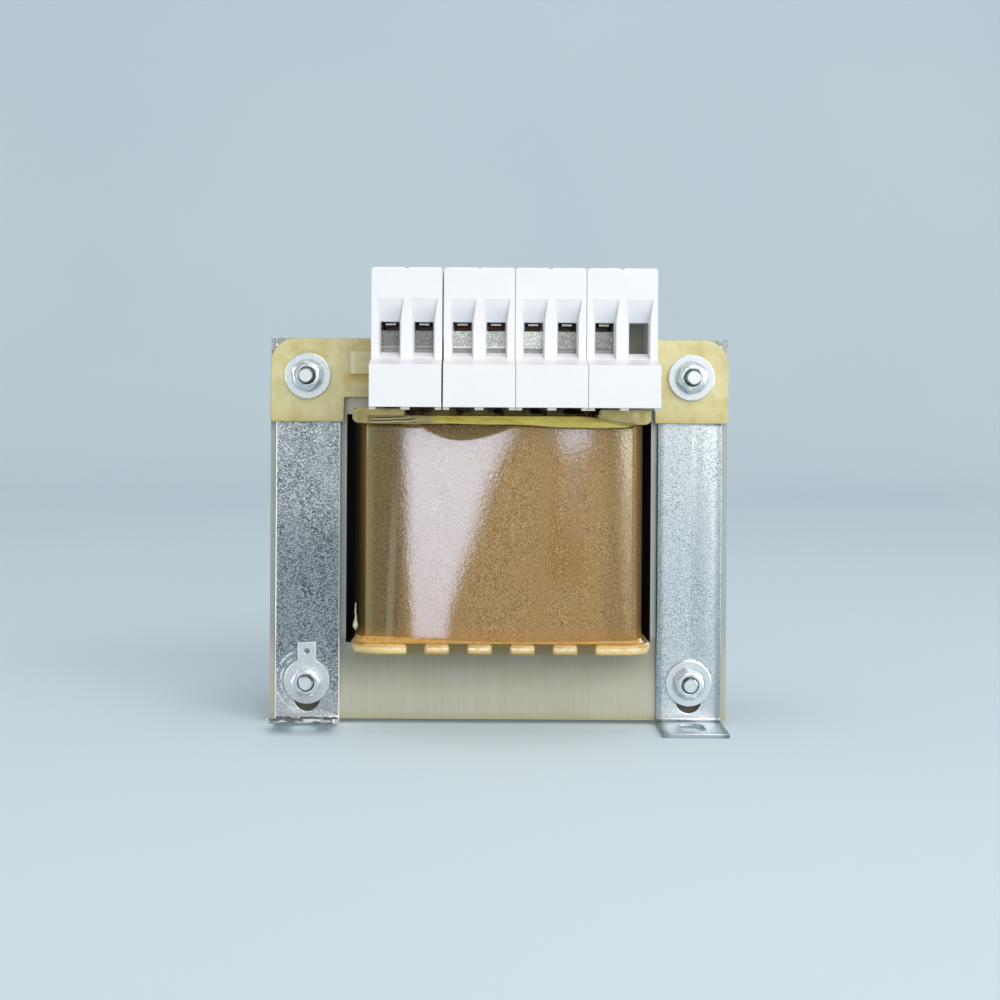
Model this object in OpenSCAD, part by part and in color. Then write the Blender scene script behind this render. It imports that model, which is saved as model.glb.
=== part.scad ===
// Open-frame autotransformer for fan speed control: an interleaved EI core with a wrapped coil,
// two pairs of foot brackets, and a row of screw terminals on a glass-epoxy plate.
// +Z is up, the terminals face -Y, and z = 0 is the surface that the feet stand on.

/* [Core] */
// Width of an outer leg and of a yoke; the other lamination sizes follow from it
leg_w = 20; // [19:0.5:26]
// Thickness of the lamination stack
stack_t = 40; // [24:1:60]
// Packets of sheets that are turned end for end through the stack
packets = 10; // [4:2:16]
// Gap that the varnish leaves between two packets
packet_gap = 0.05; // [0.02:0.01:0.1]
// Diameter of the four holes through the laminations
lam_hole_d = 6.5; // [5:0.1:8]

/* [Bolts] */
// Thread diameter of the core bolts
bolt_d = 4; // [3:0.5:4.5]
// Width across the flats of the nuts and the bolt heads
nut_af = 7; // [6:0.5:9]
// Height of a nut
nut_h = 3.2; // [2.4:0.1:5]
// Height of a bolt head
head_h = 2.8; // [2:0.1:4]
// Thread standing out past the upper nuts
thread_end = 2.5; // [1:0.1:5]
// Thread standing out past the lower nuts
low_thread_end = 0.9; // [0.5:0.1:5]
// Outer diameter of the large washers
washer_d = 12; // [9:0.5:13]
// Thickness of a washer
washer_t = 1; // [0.6:0.1:1.6]
// Chamfer on a nut and a bolt head
nut_chamfer = 0.6; // [0.2:0.05:0.8]
// Room around a bolt in a washer, a nut, a plate or a strap
bolt_play = 0.3; // [0.1:0.05:0.6]

/* [Earth tag] */
// Width of the tag's tab
tab_w = 4.8; // [2.8:0.1:6.3]
// Height of the tab above the bolt's centre
tab_h = 10.3; // [8:0.1:16]
// Sheet thickness of the tag
tab_t = 0.8; // [0.5:0.1:1]
// Diameter of the small hole in the tab
tab_hole_d = 1.4; // [0.8:0.1:2]
// Distance of the small hole from the tab's end
tab_hole_inset = 2.4; // [1.5:0.1:4]

/* [Brackets] */
// Width of a strap
strap_w = 17; // [14:0.5:18.5]
// Sheet thickness of a strap, which is also how far the core stands off the floor
strap_t = 1.2; // [0.8:0.1:2]
// Inside radius of the bend at the foot
bend_r = 1; // [0.5:0.1:2]
// Distance from the core's top down to the strap's top
strap_top_drop = 1.4; // [0.5:0.1:4]
// Reach of a foot from the core's face
foot_reach = 18; // [16:0.5:26]
// Width of the slot in a foot
foot_slot_w = 6; // [4.5:0.1:7]
// Length of the slot in a foot
foot_slot_len = 10.4; // [8:0.1:11]
// Sheet left between the slot and the end of the foot
foot_slot_land = 3; // [2:0.1:4]
// Width of the upright slot around the lower bolt
strap_slot_w = 6.5; // [5.5:0.1:8]
// Distance that the upright slot runs on below the lower bolt's centre
strap_slot_drop = 4.6; // [2:0.1:5]
// Angle by which the front left foot is bent up off the floor
bent_foot_angle = 11.5; // [0:0.5:14]

/* [Bobbin] */
// Room between the core's centre leg and the tube
tube_play = 0.6; // [0.55:0.05:0.9]
// Distance of the bobbin's middle to the right of the core's middle
bobbin_shift = 0.5; // [0:0.1:0.5]
// Wall of the tube
tube_wall = 1.6; // [1:0.1:2.5]
// Thickness of a flange
flange_t = 2.1; // [1.5:0.1:3]
// Room between a flange and the yoke beside it
flange_play = 0.1; // [0.05:0.05:0.3]
// Room between a flange and the outer leg beside it
flange_side_gap = 1.6; // [0.5:0.1:2.5]
// Reach of a flange past the core's face
flange_reach = 18.5; // [18:0.5:20]
// Corner radius of a flange
flange_corner_r = 8; // [2:0.5:8]
// Slots along the front and rear edge of a flange
comb_slots = 5; // [5:1:5]
// Distance between two slots of the comb
comb_pitch = 10.8; // [9:0.1:11]
// Width of a slot of the comb
comb_slot_w = 4.4; // [3.6:0.1:5]
// Depth of a slot of the comb
comb_slot_depth = 16; // [8:0.5:16]
// Distance that the lower comb's nose hangs below its flange
nose_h = 0.7; // [0.2:0.1:0.8]
// Depth of that nose from the flange's edge
nose_depth = 4; // [2:0.1:5]
// Room between the raised blocks at the upper flange's ends and the terminals
end_block_gap = 0.4; // [0.2:0.1:1]
// Distance from the middle to a raised end block
end_block_from = 24.5; // [24.5:0.1:30]
// Depth of a raised end block from the flange's edge
end_block_depth = 5.5; // [4:0.1:5.5]
// Radius along the lower edge of each end of the upper flange
end_low_r = 2; // [1:0.1:2.5]
// Radius along the upper edge of each raised end block
end_top_r = 0.8; // [0.4:0.1:1.2]

/* [Coil] */
// Room between the wrapped coil and an outer leg
coil_side_gap = 3.4; // [3:0.1:6]
// Reach of the wrapped coil past the core's face
coil_reach = 17; // [14:0.1:17.5]
// Bulge of the coil's front and rear
coil_bulge = 1.4; // [0.5:0.1:2.5]
// Corner radius of the wrapped coil
coil_corner_r = 6; // [4:0.5:8]
// Thickness of the kraft paper over the winding
paper_t = 0.6; // [0.3:0.1:1]
// Thickness of the clear film over the paper
film_t = 0.2; // [0.15:0.05:0.4]
// Room between two layers of the coil, and at its ends
layer_play = 0.05; // [0.03:0.01:0.1]
// Thickness of the yellow tape along the upper flange's front edge
tape_t = 0.3; // [0.2:0.05:0.5]

/* [Terminal plate] */
// Distance that the plate's sides and top stay inside the core's outline
plate_inset = 0.2; // [0:0.1:1]
// Thickness of the plate
plate_t = 2; // [1.5:0.1:3]
// Width of the ears at the plate's ends
ear_w = 19.2; // [17:0.1:20]
// Distance that the ears hang below the top yoke
ear_drop = 2; // [0.5:0.1:6]
// Height of the plate's lower edge above the top yoke's lower edge
plate_rise = 4.4; // [3:0.1:5]
// Radius of the plate's upper corners
plate_corner_r = 6.5; // [3:0.5:8]
// Height of the rail that carries the terminals
rail_h = 6; // [5:0.1:6.5]
// Thickness of the rail
rail_t = 2; // [1.5:0.1:3]
// Length of the rail
rail_len = 78; // [76:0.5:79]
// Height of the rail above the terminals' undersides
rail_rise = 8.3; // [7.5:0.1:9.5]

/* [Terminal blocks] */
// Blocks in the row
blocks = 4; // [4:1:4]
// Pitch of the blocks
block_pitch = 18; // [17.5:0.1:18.5]
// Seam between two blocks
block_seam = 0.1; // [0.05:0.05:0.3]
// Extra room between the first block and the second
first_gap = 0.3; // [0:0.05:0.3]
// Distance of the row's middle to the right of the core's middle
row_offset = 3.6; // [0:0.1:4]
// Height of a block
block_h = 35.2; // [34:0.1:38]
// Depth of a block from the plate to its upper front
upper_depth = 16.3; // [15.5:0.1:19]
// Depth of a block from the plate to its lower front
lower_depth = 24.8; // [22:0.1:30]
// Height of the lower front
lower_h = 10.6; // [8:0.1:11]
// Fall of the ledge between the two fronts
ledge_fall = 1.5; // [0.5:0.1:2]
// Chamfer along a block's top edges
block_chamfer = 0.5; // [0.2:0.1:1]
// Room under the blocks for the leads
lead_room = 2.1; // [2:0.1:3]
// Width of the index grooves across a block's top, half of it at the block's sides
index_w = 0.8; // [0.5:0.1:2]
// Depth of the index grooves
index_depth = 0.35; // [0.2:0.05:1]
// Height of the small feet under a block
nub_h = 0.7; // [0.3:0.1:1]
// Width of the small foot under a block's middle
nub_w = 2.2; // [1.5:0.1:3]
// Width of the small feet under a block's sides
side_nub_w = 1.6; // [1:0.1:2]
// Depth of the small feet from a block's lower front
nub_depth = 2.8; // [2:0.1:4]
// Room around a piece that is held in a block
block_play = 0.1; // [0.05:0.05:0.15]

/* [Wire entries] */
// Distance between a block's two poles
pole_pitch = 8.55; // [8.3:0.05:8.7]
// Width of a wire entry
entry_w = 4.75; // [4.4:0.05:5]
// Height of a wire entry
entry_h = 7.8; // [7:0.1:8.5]
// Height of a wire entry's floor above the lower front
entry_rise = 3.1; // [2.6:0.1:3.4]
// Depth of the funnel in front of a wire entry
funnel_depth = 2.5; // [1.5:0.1:3]
// Width that the funnel adds on each side of the entry
funnel_side = 0.35; // [0.2:0.05:0.6]
// Width that the funnel's ramp adds on each side at its top
ramp_side = 1.05; // [0.6:0.05:1.2]
// Height that the funnel's ramp adds at the top
funnel_top = 5.8; // [4:0.1:6]

/* [Clamps] */
// Wall of a block between the rail and a contact bar
chamber_wall = 0.8; // [0.6:0.1:1]
// Width of a clamp cage
cage_w = 5.4; // [5:0.1:5.6]
// Depth of a clamp cage from front to back
cage_depth = 7.2; // [6.6:0.1:7.4]
// Sheet thickness of a clamp cage
cage_t = 0.8; // [0.6:0.1:1]
// Thickness of the cage's threaded roof
cage_roof_t = 2; // [1.5:0.1:2.5]
// Distance that the cage's side walls stand back from its front
wall_setback = 2.4; // [1:0.1:3]
// Gap that the clamp leaves for a wire
wire_gap = 1.45; // [1:0.05:2.2]
// Height of the skirt's bright upper part
skirt_h = 4.3; // [3.5:0.1:4.6]
// Thickness of the contact bar's upright
bar_t = 0.9; // [0.6:0.1:1.2]
// Thickness of the contact bar's lip over the wire
lip_t = 0.5; // [0.4:0.1:0.7]
// Width of that lip
lip_w = 2.6; // [2:0.1:3]
// Distance of the lip's underside below the top of the wire entry
lip_drop = 0.75; // [0.6:0.05:1]
// Length of the contact bar's tail below the block
tail_len = 1.4; // [1:0.1:1.6]
// Thread diameter of a clamp screw
screw_d = 3; // [2.5:0.1:3.4]
// Head diameter of a clamp screw
screw_head_d = 5.2; // [4.5:0.1:5.4]
// Head height of a clamp screw
screw_head_h = 2.2; // [1.6:0.1:2.4]
// Width of the driver slot in a clamp screw
driver_slot_w = 0.8; // [0.6:0.1:1]
// Diameter of the driver's hole in a block's top
driver_hole_d = 4.4; // [4:0.1:4.4]
// Thickness of the block's roof over a clamp screw
roof_t = 3; // [2:0.1:3.2]
// Diameter of a tap lead
lead_d = 1.2; // [0.8:0.1:1.4]
// Distance of a lead from the upper flange's front edge
lead_inset = 4.5; // [3.5:0.1:6]

/* [Hidden] */
$fn = 64;
// How far a cut runs past the face it opens
cut_past = 1;
// Thickness of the thin slices that a tapered hollow runs between
slice_t = 0.1;

// Core outline
core_w = 6 * leg_w;
core_h = 5 * leg_w;
core_bottom = strap_t;
core_top = core_bottom + core_h;
window_bottom = core_bottom + leg_w;
window_top = core_top - leg_w;
window_h = window_top - window_bottom;
leg_mid_x = 2.5 * leg_w;
bolt_heights = [core_bottom + leg_w / 2, core_top - leg_w / 2];
packet_t = (stack_t - (packets - 1) * packet_gap) / packets;

// Terminal plate and the fronts of the terminals, as distances from the core's face
plate_face = strap_t + plate_t;
upper_reach = plate_face + upper_depth;
lower_reach = plate_face + lower_depth;

// The origin lies under the middle of the whole part
rear_reach = max(foot_reach, flange_reach);
core_mid_y = (lower_reach - rear_reach) / 2;
core_front_y = core_mid_y - stack_t / 2;
core_rear_y = core_mid_y + stack_t / 2;

// Bolts
bolt_hole_d = bolt_d + 2 * bolt_play;
head_seat = strap_t + washer_t;
nut_seat = plate_face + washer_t;
low_left_seat = strap_t + tab_t;
low_right_seat = strap_t + washer_t;
// Turn of each nut about its bolt: upper left, upper right, lower left, lower right
nut_turns = [24, 45, 0, 20];

// Brackets
strap_top = core_top - strap_top_drop;
foot_slot_mid = foot_reach - foot_slot_land - foot_slot_len / 2;

// Bobbin and coil
tube_x = leg_w + tube_play + tube_wall;
tube_y = stack_t / 2 + tube_play + tube_wall;
flange_x = 2 * leg_w - flange_side_gap;
flange_y = stack_t / 2 + flange_reach;
low_flange_z = window_bottom + flange_play;
high_flange_z = window_top - flange_play - flange_t;
end_block_top = window_top + lead_room - end_block_gap;
coil_bottom = low_flange_z + flange_t + layer_play;
coil_top = high_flange_z - layer_play;
coil_x = 2 * leg_w - coil_side_gap;
coil_y = stack_t / 2 + coil_reach;
bulge_r = (coil_x * coil_x + coil_bulge * coil_bulge) / (2 * coil_bulge);
paper_in = film_t + layer_play;
winding_in = paper_in + paper_t + layer_play;
comb_span = (comb_slots - 1) * comb_pitch;

// Terminal plate
plate_x = core_w / 2 - plate_inset;
plate_top = core_top - plate_inset;
plate_low = window_top + plate_rise;
ear_low = window_top - ear_drop;

// Terminal blocks
block_low = window_top + lead_room;
block_top = block_low + block_h;
rail_low = block_low + rail_rise;
lower_top = block_low + lower_h;
upper_low = lower_top + ledge_fall;

// Wire entries and clamps
entry_low = lower_top + entry_rise;
entry_top = entry_low + entry_h;
entry_face = upper_reach - funnel_depth;
chamber_back = plate_face + rail_t + block_play + chamber_wall;
cage_back = chamber_back + bar_t + block_play;
cage_front = cage_back + cage_depth;
chamber_front = cage_front + block_play;
chamber_w = cage_w + 2 * block_play;
chamber_top = block_top - roof_t - screw_head_h - 3 * block_play;
bar_w = cage_w - 2 * cage_t - 2 * block_play;
lip_low = entry_top - lip_drop;
bar_top = lip_low + lip_t;
wire_floor = lip_low - wire_gap;
cage_roof_z = chamber_top - block_play - cage_roof_t;
screw_y = (cage_front + cage_back) / 2;
screw_head_z = block_top - roof_t - block_play - screw_head_h;
lead_z = window_top + lead_room / 2;
lead_y = flange_reach - lead_inset;
tap_poles = [for (pole = [0 : 2 * blocks - 2]) pole];
// The comb slot that each lead comes up through, and its side of that slot
lead_slots = [0, 0, 1, 2, 3, 4, 4];
lead_shifts = [-1, 1, 0, 0, 0, -1, 1];
lead_sides = 8;

// Middle of a block, counted from 0
function block_x(i) = row_offset + (i - (blocks - 1) / 2) * block_pitch - (i == 0 ? first_gap : 0);

// Middle of a pole, counted from 0 along the whole row
function pole_x(pole) = block_x(floor(pole / 2)) + (pole % 2 - 0.5) * pole_pitch;

// Middle of a comb slot from the bobbin's middle, counted from 0
function comb_x(i) = i * comb_pitch - comb_span / 2;

// Places its children so that their y runs forward from the core's front face
module ahead() {
    translate([0, core_front_y, 0]) mirror([0, 1, 0]) children();
}

// Places its children so that their y runs back from the core's rear face
module behind() {
    translate([0, core_rear_y, 0]) children();
}

// Stands a flat outline up and gives it a thickness from y to y + t
module upright(y, t) {
    translate([0, y + t, 0]) rotate([90, 0, 0]) linear_extrude(t) children();
}

// Draws a side profile in y and z, and runs it along x over the given width
module across(w) {
    translate([-w / 2, 0, 0]) rotate([90, 0, 90]) linear_extrude(w) children();
}

// A block with its middle on x and the given y and z limits
module slab(w, y0, y1, z0, z1) {
    translate([-w / 2, y0, z0]) cube([w, y1 - y0, z1 - z0]);
}

// A flat rectangle with round corners, centred
module round_rect(hx, hy, r) {
    square([2 * hx - 2 * r, 2 * hy], center = true);
    square([2 * hx, 2 * hy - 2 * r], center = true);
    for (sx = [-1, 1], sy = [-1, 1])
        translate([sx * (hx - r), sy * (hy - r)]) circle(r);
}

// A flat slot along y with round ends, centred
module slot_shape(w, len) {
    square([w, len - w], center = true);
    for (s = [-1, 1])
        translate([0, s * (len - w) / 2]) circle(d = w);
}

// One E sheet seen from the front, yoke at the bottom
module e_outline() {
    difference() {
        translate([-core_w / 2, core_bottom]) square([core_w, core_h - leg_w]);
        for (s = [-1, 1]) {
            translate([s * 1.5 * leg_w - leg_w / 2, window_bottom]) square([leg_w, core_h]);
            translate([s * leg_mid_x, bolt_heights[0]]) circle(d = lam_hole_d);
        }
    }
}

// One I sheet seen from the front, at the top
module i_outline() {
    difference() {
        translate([-core_w / 2, window_top]) square([core_w, leg_w]);
        for (s = [-1, 1])
            translate([s * leg_mid_x, bolt_heights[1]]) circle(d = lam_hole_d);
    }
}

// Stacks packets of sheets, with every second one turned end for end
module interleaved() {
    for (k = [0 : packets - 1])
        upright(core_front_y + k * (packet_t + packet_gap), packet_t)
            if (k % 2 == 0)
                children();
            else
                translate([0, core_bottom + core_top]) mirror([0, 1]) children();
}

module e_laminations() {
    color("#8f8d82") interleaved() e_outline();
}

module i_laminations() {
    color("#9b998d") interleaved() i_outline();
}

// A flange seen from above, with its comb slots and the hole for the centre leg
module flange_outline() {
    difference() {
        round_rect(flange_x, flange_y, flange_corner_r);
        square([2 * (leg_w + tube_play), stack_t + 2 * tube_play], center = true);
        comb_outline();
    }
}

// The comb slots of both long edges
module comb_outline() {
    for (i = [0 : comb_slots - 1], s = [-1, 1])
        translate([comb_x(i), s * flange_y])
            square([comb_slot_w, 2 * comb_slot_depth], center = true);
}

// The strips of a flange that lie outside the core, from a depth behind the edge outwards
module outside_core(depth) {
    for (s = [-1, 1])
        translate([0, s * (flange_y - depth / 2)])
            square([2 * flange_x, depth], center = true);
}

module bobbin() {
    color("#e6d18f") translate([bobbin_shift, core_mid_y, 0]) {
        difference() {
            translate([-tube_x, -tube_y, low_flange_z])
                cube([2 * tube_x, 2 * tube_y, high_flange_z + flange_t - low_flange_z]);
            translate([-leg_w - tube_play, -stack_t / 2 - tube_play, core_bottom])
                cube([2 * (leg_w + tube_play), stack_t + 2 * tube_play, core_h]);
        }
        low_flange();
        difference() {
            high_flange();
            for (side = [0, 1])
                mirror([side, 0, 0]) end_rounding();
        }
    }
}

// The lower flange, with a nose along its front and rear edge
module low_flange() {
    translate([0, 0, low_flange_z]) linear_extrude(flange_t) flange_outline();
    translate([0, 0, low_flange_z - nose_h]) linear_extrude(flange_t) intersection() {
        flange_outline();
        outside_core(nose_depth);
    }
}

// The upper flange, with a raised block at each corner
module high_flange() {
    translate([0, 0, high_flange_z]) {
        linear_extrude(flange_t) flange_outline();
        linear_extrude(end_block_top - high_flange_z) intersection() {
            flange_outline();
            outside_core(end_block_depth);
            end_block_outline();
        }
    }
}

// What the rounding takes off the upper flange's right end, at its lower and upper edge
module end_rounding() {
    upright(-flange_y - cut_past, 2 * flange_y + 2 * cut_past) {
        translate([flange_x, high_flange_z]) corner_waste(end_low_r);
        translate([flange_x, end_block_top]) mirror([0, 1]) corner_waste(end_top_r);
    }
}

// The waste outside a round corner whose sharp point is the origin, with the body up and to the left of it
module corner_waste(r) {
    difference() {
        translate([-r, -cut_past]) square(r + cut_past);
        translate([-r, r]) circle(r);
    }
}

// The two ends of a flange that carry the raised blocks
module end_block_outline() {
    for (s = [-1, 1])
        translate([s * (flange_x + end_block_from) / 2, 0])
            square([flange_x - end_block_from, 2 * flange_y], center = true);
}

// The coil seen from above, shrunk by the layers outside it
module coil_outline(inset) {
    intersection() {
        round_rect(coil_x - inset, coil_y - inset, coil_corner_r - inset);
        for_both_bulges(inset);
    }
}

// The part of the plane inside the front and rear bulges
module for_both_bulges(inset) {
    intersection() {
        translate([0, coil_y - bulge_r]) circle(bulge_r - inset, $fn = 360);
        translate([0, bulge_r - coil_y]) circle(bulge_r - inset, $fn = 360);
    }
}

// One layer of the coil between two insets from its outer surface
module coil_layer(inset, t) {
    translate([0, core_mid_y, coil_bottom]) linear_extrude(coil_top - coil_bottom) difference() {
        coil_outline(inset);
        coil_outline(inset + t);
    }
}

module winding() {
    color("#a8622c") translate([0, core_mid_y, coil_bottom])
        linear_extrude(coil_top - coil_bottom) difference() {
            coil_outline(winding_in);
            translate([bobbin_shift, 0])
                square([2 * (tube_x + layer_play), 2 * (tube_y + layer_play)], center = true);
        }
}

module paper_wrap() {
    color("#8f7147") coil_layer(paper_in, paper_t);
}

module film_wrap() {
    color("#d8c9a0", 0.4) coil_layer(0, film_t);
}

module edge_tape() {
    color("#c3b24b") ahead() translate([bobbin_shift, 0, 0])
        slab(
            2 * (flange_x - flange_corner_r),
            flange_reach,
            flange_reach + tape_t,
            high_flange_z,
            high_flange_z + flange_t
        );
}

// A strap seen from the side: upright, bend and foot, with the foot raised by an angle
module bracket_profile(lift) {
    outer_r = bend_r + strap_t;
    translate([0, outer_r]) square([strap_t, strap_top - outer_r]);
    translate([outer_r, outer_r]) {
        rotate(180) bend_sector(90 + lift);
        rotate(lift) translate([0, -outer_r]) square([foot_reach - outer_r, strap_t]);
    }
}

// A part ring of the sheet's thickness, from the x axis round to the given angle
module bend_sector(angle) {
    outer_r = bend_r + strap_t;
    intersection() {
        difference() {
            circle(outer_r);
            circle(bend_r);
        }
        union() {
            square(outer_r + cut_past);
            rotate(angle - 90) square(outer_r + cut_past);
        }
    }
}

// One bracket, with y running away from the core's face
module bracket(side, lift) {
    color("#aab2b8") translate([side * leg_mid_x, 0, 0]) difference() {
        across(strap_w) bracket_profile(lift);
        translate([0, foot_slot_mid, -cut_past])
            linear_extrude(foot_reach) slot_shape(foot_slot_w, foot_slot_len);
        upright(-cut_past, strap_t + 2 * cut_past) {
            translate([0, bolt_heights[1]]) circle(d = bolt_hole_d);
            translate([0, bolt_heights[0] - strap_slot_drop / 2])
                slot_shape(strap_slot_w, strap_slot_w + strap_slot_drop);
        }
    }
}

module front_left_bracket() {
    ahead() bracket(-1, bent_foot_angle);
}

module front_right_bracket() {
    ahead() bracket(1, 0);
}

module rear_left_bracket() {
    behind() bracket(-1, 0);
}

module rear_right_bracket() {
    behind() bracket(1, 0);
}

// Repeats its children on the four bolt axes
module at_bolts() {
    for (s = [-1, 1], z = bolt_heights)
        translate([s * leg_mid_x, 0, z]) children();
}

// A hexagon with one chamfered end, its axis along y and its flat end at y = 0
module hexagon(h) {
    across_corners = nut_af / cos(30);
    rotate([-90, 0, 0]) intersection() {
        cylinder(d = across_corners, h = h, $fn = 6);
        union() {
            cylinder(d = across_corners + cut_past, h = h - nut_chamfer);
            translate([0, 0, h - nut_chamfer])
                cylinder(d1 = across_corners, d2 = nut_af - nut_chamfer, h = nut_chamfer);
        }
    }
}

// A round bar along y
module rod(d, y0, y1) {
    translate([0, y0, 0]) rotate([-90, 0, 0]) cylinder(d = d, h = y1 - y0);
}

// A bolt with its head at the rear, whose tip stands out past a nut on the given seat
module core_bolt(side, z, seat, past) {
    translate([side * leg_mid_x, 0, z]) {
        translate([0, head_seat, 0]) hexagon(head_h);
        rod(bolt_d, -stack_t - seat - nut_h - past, head_seat);
    }
}

module core_bolts() {
    color("#b9bcbc") behind() {
        for (side = [-1, 1])
            core_bolt(side, bolt_heights[1], nut_seat, thread_end);
        core_bolt(-1, bolt_heights[0], low_left_seat, low_thread_end);
        core_bolt(1, bolt_heights[0], low_right_seat, low_thread_end);
    }
}

// A nut on a bolt that stands out of the front, with y running forward
module core_nut(side, z, seat, turn) {
    translate([side * leg_mid_x, 0, z]) difference() {
        rotate([0, turn, 0]) translate([0, seat, 0]) hexagon(nut_h);
        rod(bolt_d + bolt_play, seat - cut_past, seat + nut_h + cut_past);
    }
}

module core_nuts() {
    color("#c3c6c6") ahead() {
        core_nut(-1, bolt_heights[1], nut_seat, nut_turns[0]);
        core_nut(1, bolt_heights[1], nut_seat, nut_turns[1]);
        core_nut(-1, bolt_heights[0], low_left_seat, nut_turns[2]);
        core_nut(1, bolt_heights[0], low_right_seat, nut_turns[3]);
    }
}

// A large washer that lies on a face at the given distance from the core
module washer(seat) {
    difference() {
        rod(washer_d, seat, seat + washer_t);
        rod(bolt_hole_d, seat - cut_past, seat + washer_t + cut_past);
    }
}

module front_washers() {
    color("#d3d8dc") ahead() {
        for (s = [-1, 1])
            translate([s * leg_mid_x, 0, bolt_heights[1]]) washer(plate_face);
        translate([leg_mid_x, 0, bolt_heights[0]]) washer(strap_t);
    }
}

module rear_washers() {
    color("#d3d8dc") behind() at_bolts() washer(strap_t);
}

module earth_tag() {
    color("#c9cccb") ahead() translate([-leg_mid_x, 0, bolt_heights[0]])
        upright(strap_t, tab_t) difference() {
            union() {
                circle(d = washer_d);
                translate([-tab_w / 2, 0]) square([tab_w, tab_h]);
            }
            circle(d = bolt_hole_d);
            translate([0, tab_h - tab_hole_inset]) circle(d = tab_hole_d);
        }
}

// The terminal plate seen from the front
module plate_outline() {
    difference() {
        union() {
            for (s = [-1, 1])
                translate([s * (plate_x - ear_w / 2) - ear_w / 2, ear_low])
                    square([ear_w, plate_top - plate_corner_r - ear_low]);
            translate([-plate_x, plate_low])
                square([2 * plate_x, plate_top - plate_corner_r - plate_low]);
            translate([plate_corner_r - plate_x, plate_low])
                square([2 * (plate_x - plate_corner_r), plate_top - plate_low]);
            for (s = [-1, 1])
                translate([s * (plate_x - plate_corner_r), plate_top - plate_corner_r])
                    circle(plate_corner_r);
        }
        for (s = [-1, 1])
            translate([s * leg_mid_x, bolt_heights[1]]) circle(d = bolt_hole_d);
    }
}

module terminal_plate() {
    color("#cfc38c") ahead() upright(strap_t, plate_t) plate_outline();
}

module terminal_rail() {
    color("#c9bb80") ahead()
        slab(rail_len, plate_face, plate_face + rail_t, rail_low, rail_low + rail_h);
}

// A terminal block seen from the side, with y running forward
module block_profile() {
    polygon([
        [plate_face, block_low],
        [lower_reach, block_low],
        [lower_reach, lower_top],
        [upper_reach, upper_low],
        [upper_reach, block_top - block_chamfer],
        [upper_reach - block_chamfer, block_top],
        [plate_face + block_chamfer, block_top],
        [plate_face, block_top - block_chamfer],
    ]);
}

// A thin slice of a block across one pole, from a distance forward
module slice(w, y, z0, z1) {
    slab(w, y, y + slice_t, z0, z1);
}

// The mouth of a wire entry: flared sides down to the ledge, and a wider ramp at the top
module funnel() {
    mouth_w = entry_w + 2 * funnel_side;
    ramp_top = entry_top + funnel_top;
    hull() {
        slice(entry_w, entry_face, entry_low, entry_top);
        slice(mouth_w, upper_reach, upper_low, entry_top);
    }
    hull() {
        slice(entry_w, entry_face, entry_top - slice_t, entry_top);
        slice(mouth_w, upper_reach, entry_top - slice_t, entry_top);
        slice(entry_w + 2 * ramp_side, upper_reach, ramp_top - slice_t, ramp_top);
    }
}

// What is hollow in a block around one pole
module pole_hollow() {
    funnel();
    slab(entry_w, cage_front, entry_face + slice_t, entry_low, entry_top);
    slab(chamber_w, chamber_back, chamber_front, entry_low - cage_t, chamber_top);
    slab(
        bar_w + 2 * block_play,
        chamber_back,
        chamber_back + bar_t + block_play,
        block_low - cut_past,
        entry_low
    );
    translate([0, screw_y, chamber_top - block_play])
        cylinder(d = screw_head_d + 2 * block_play, h = block_top - roof_t - chamber_top + block_play);
    translate([0, screw_y, chamber_top]) cylinder(d = driver_hole_d, h = block_top - chamber_top + cut_past);
}

// A small foot under a block
module nub(w) {
    slab(w, lower_reach - nub_depth, lower_reach - block_chamfer, block_low - nub_h, block_low);
}

module terminal_block(i) {
    block_w = block_pitch - block_seam;
    color("#f1f0f2") ahead() translate([block_x(i), 0, 0]) {
        difference() {
            across(block_w) block_profile();
            for (s = [-1, 1])
                translate([s * pole_pitch / 2, 0, 0]) pole_hollow();
            slab(
                block_pitch,
                plate_face - cut_past,
                plate_face + rail_t + block_play,
                rail_low - block_play,
                rail_low + rail_h + block_play
            );
            for (s = [-1, 0, 1])
                translate([s * block_w / 2, 0, 0])
                    slab(
                        index_w,
                        plate_face - cut_past,
                        upper_reach + cut_past,
                        block_top - index_depth,
                        block_top + cut_past
                    );
        }
        nub(nub_w);
        for (s = [-1, 1])
            translate([s * (block_w - side_nub_w) / 2, 0, 0]) nub(side_nub_w);
    }
}

// A sheet-metal loop that the screw lifts, with a skirt that closes the entry below it
module clamp_cage(pole) {
    skirt_low = wire_floor - skirt_h;
    color("#c4c8ca") ahead() translate([pole_x(pole), 0, 0]) difference() {
        union() {
            slab(cage_w, cage_back, cage_front, wire_floor - cage_t, cage_roof_z + cage_roof_t);
            slab(cage_w, cage_front - cage_t, cage_front, skirt_low, wire_floor);
            slab(cage_w, cage_front - 2 * cage_t, cage_front - cage_t, entry_low, wire_floor);
        }
        slab(
            cage_w - 2 * cage_t,
            cage_back - cut_past,
            cage_front + cut_past,
            wire_floor,
            cage_roof_z
        );
        slab(
            cage_w + cut_past,
            cage_front - wall_setback,
            cage_front + cut_past,
            wire_floor,
            cage_roof_z
        );
        translate([0, screw_y, cage_roof_z - cut_past])
            cylinder(d = screw_d + 2 * layer_play, h = cage_roof_t + 2 * cut_past);
    }
}

// The fixed bar that a wire is clamped against, and its tail out of the block's underside
module contact_bar(pole) {
    color("#d0b878") ahead() translate([pole_x(pole), 0, 0]) {
        slab(lip_w, chamber_back, cage_front - cage_t, lip_low, bar_top);
        slab(bar_w, chamber_back, chamber_back + bar_t, block_low - tail_len, bar_top);
    }
}

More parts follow.
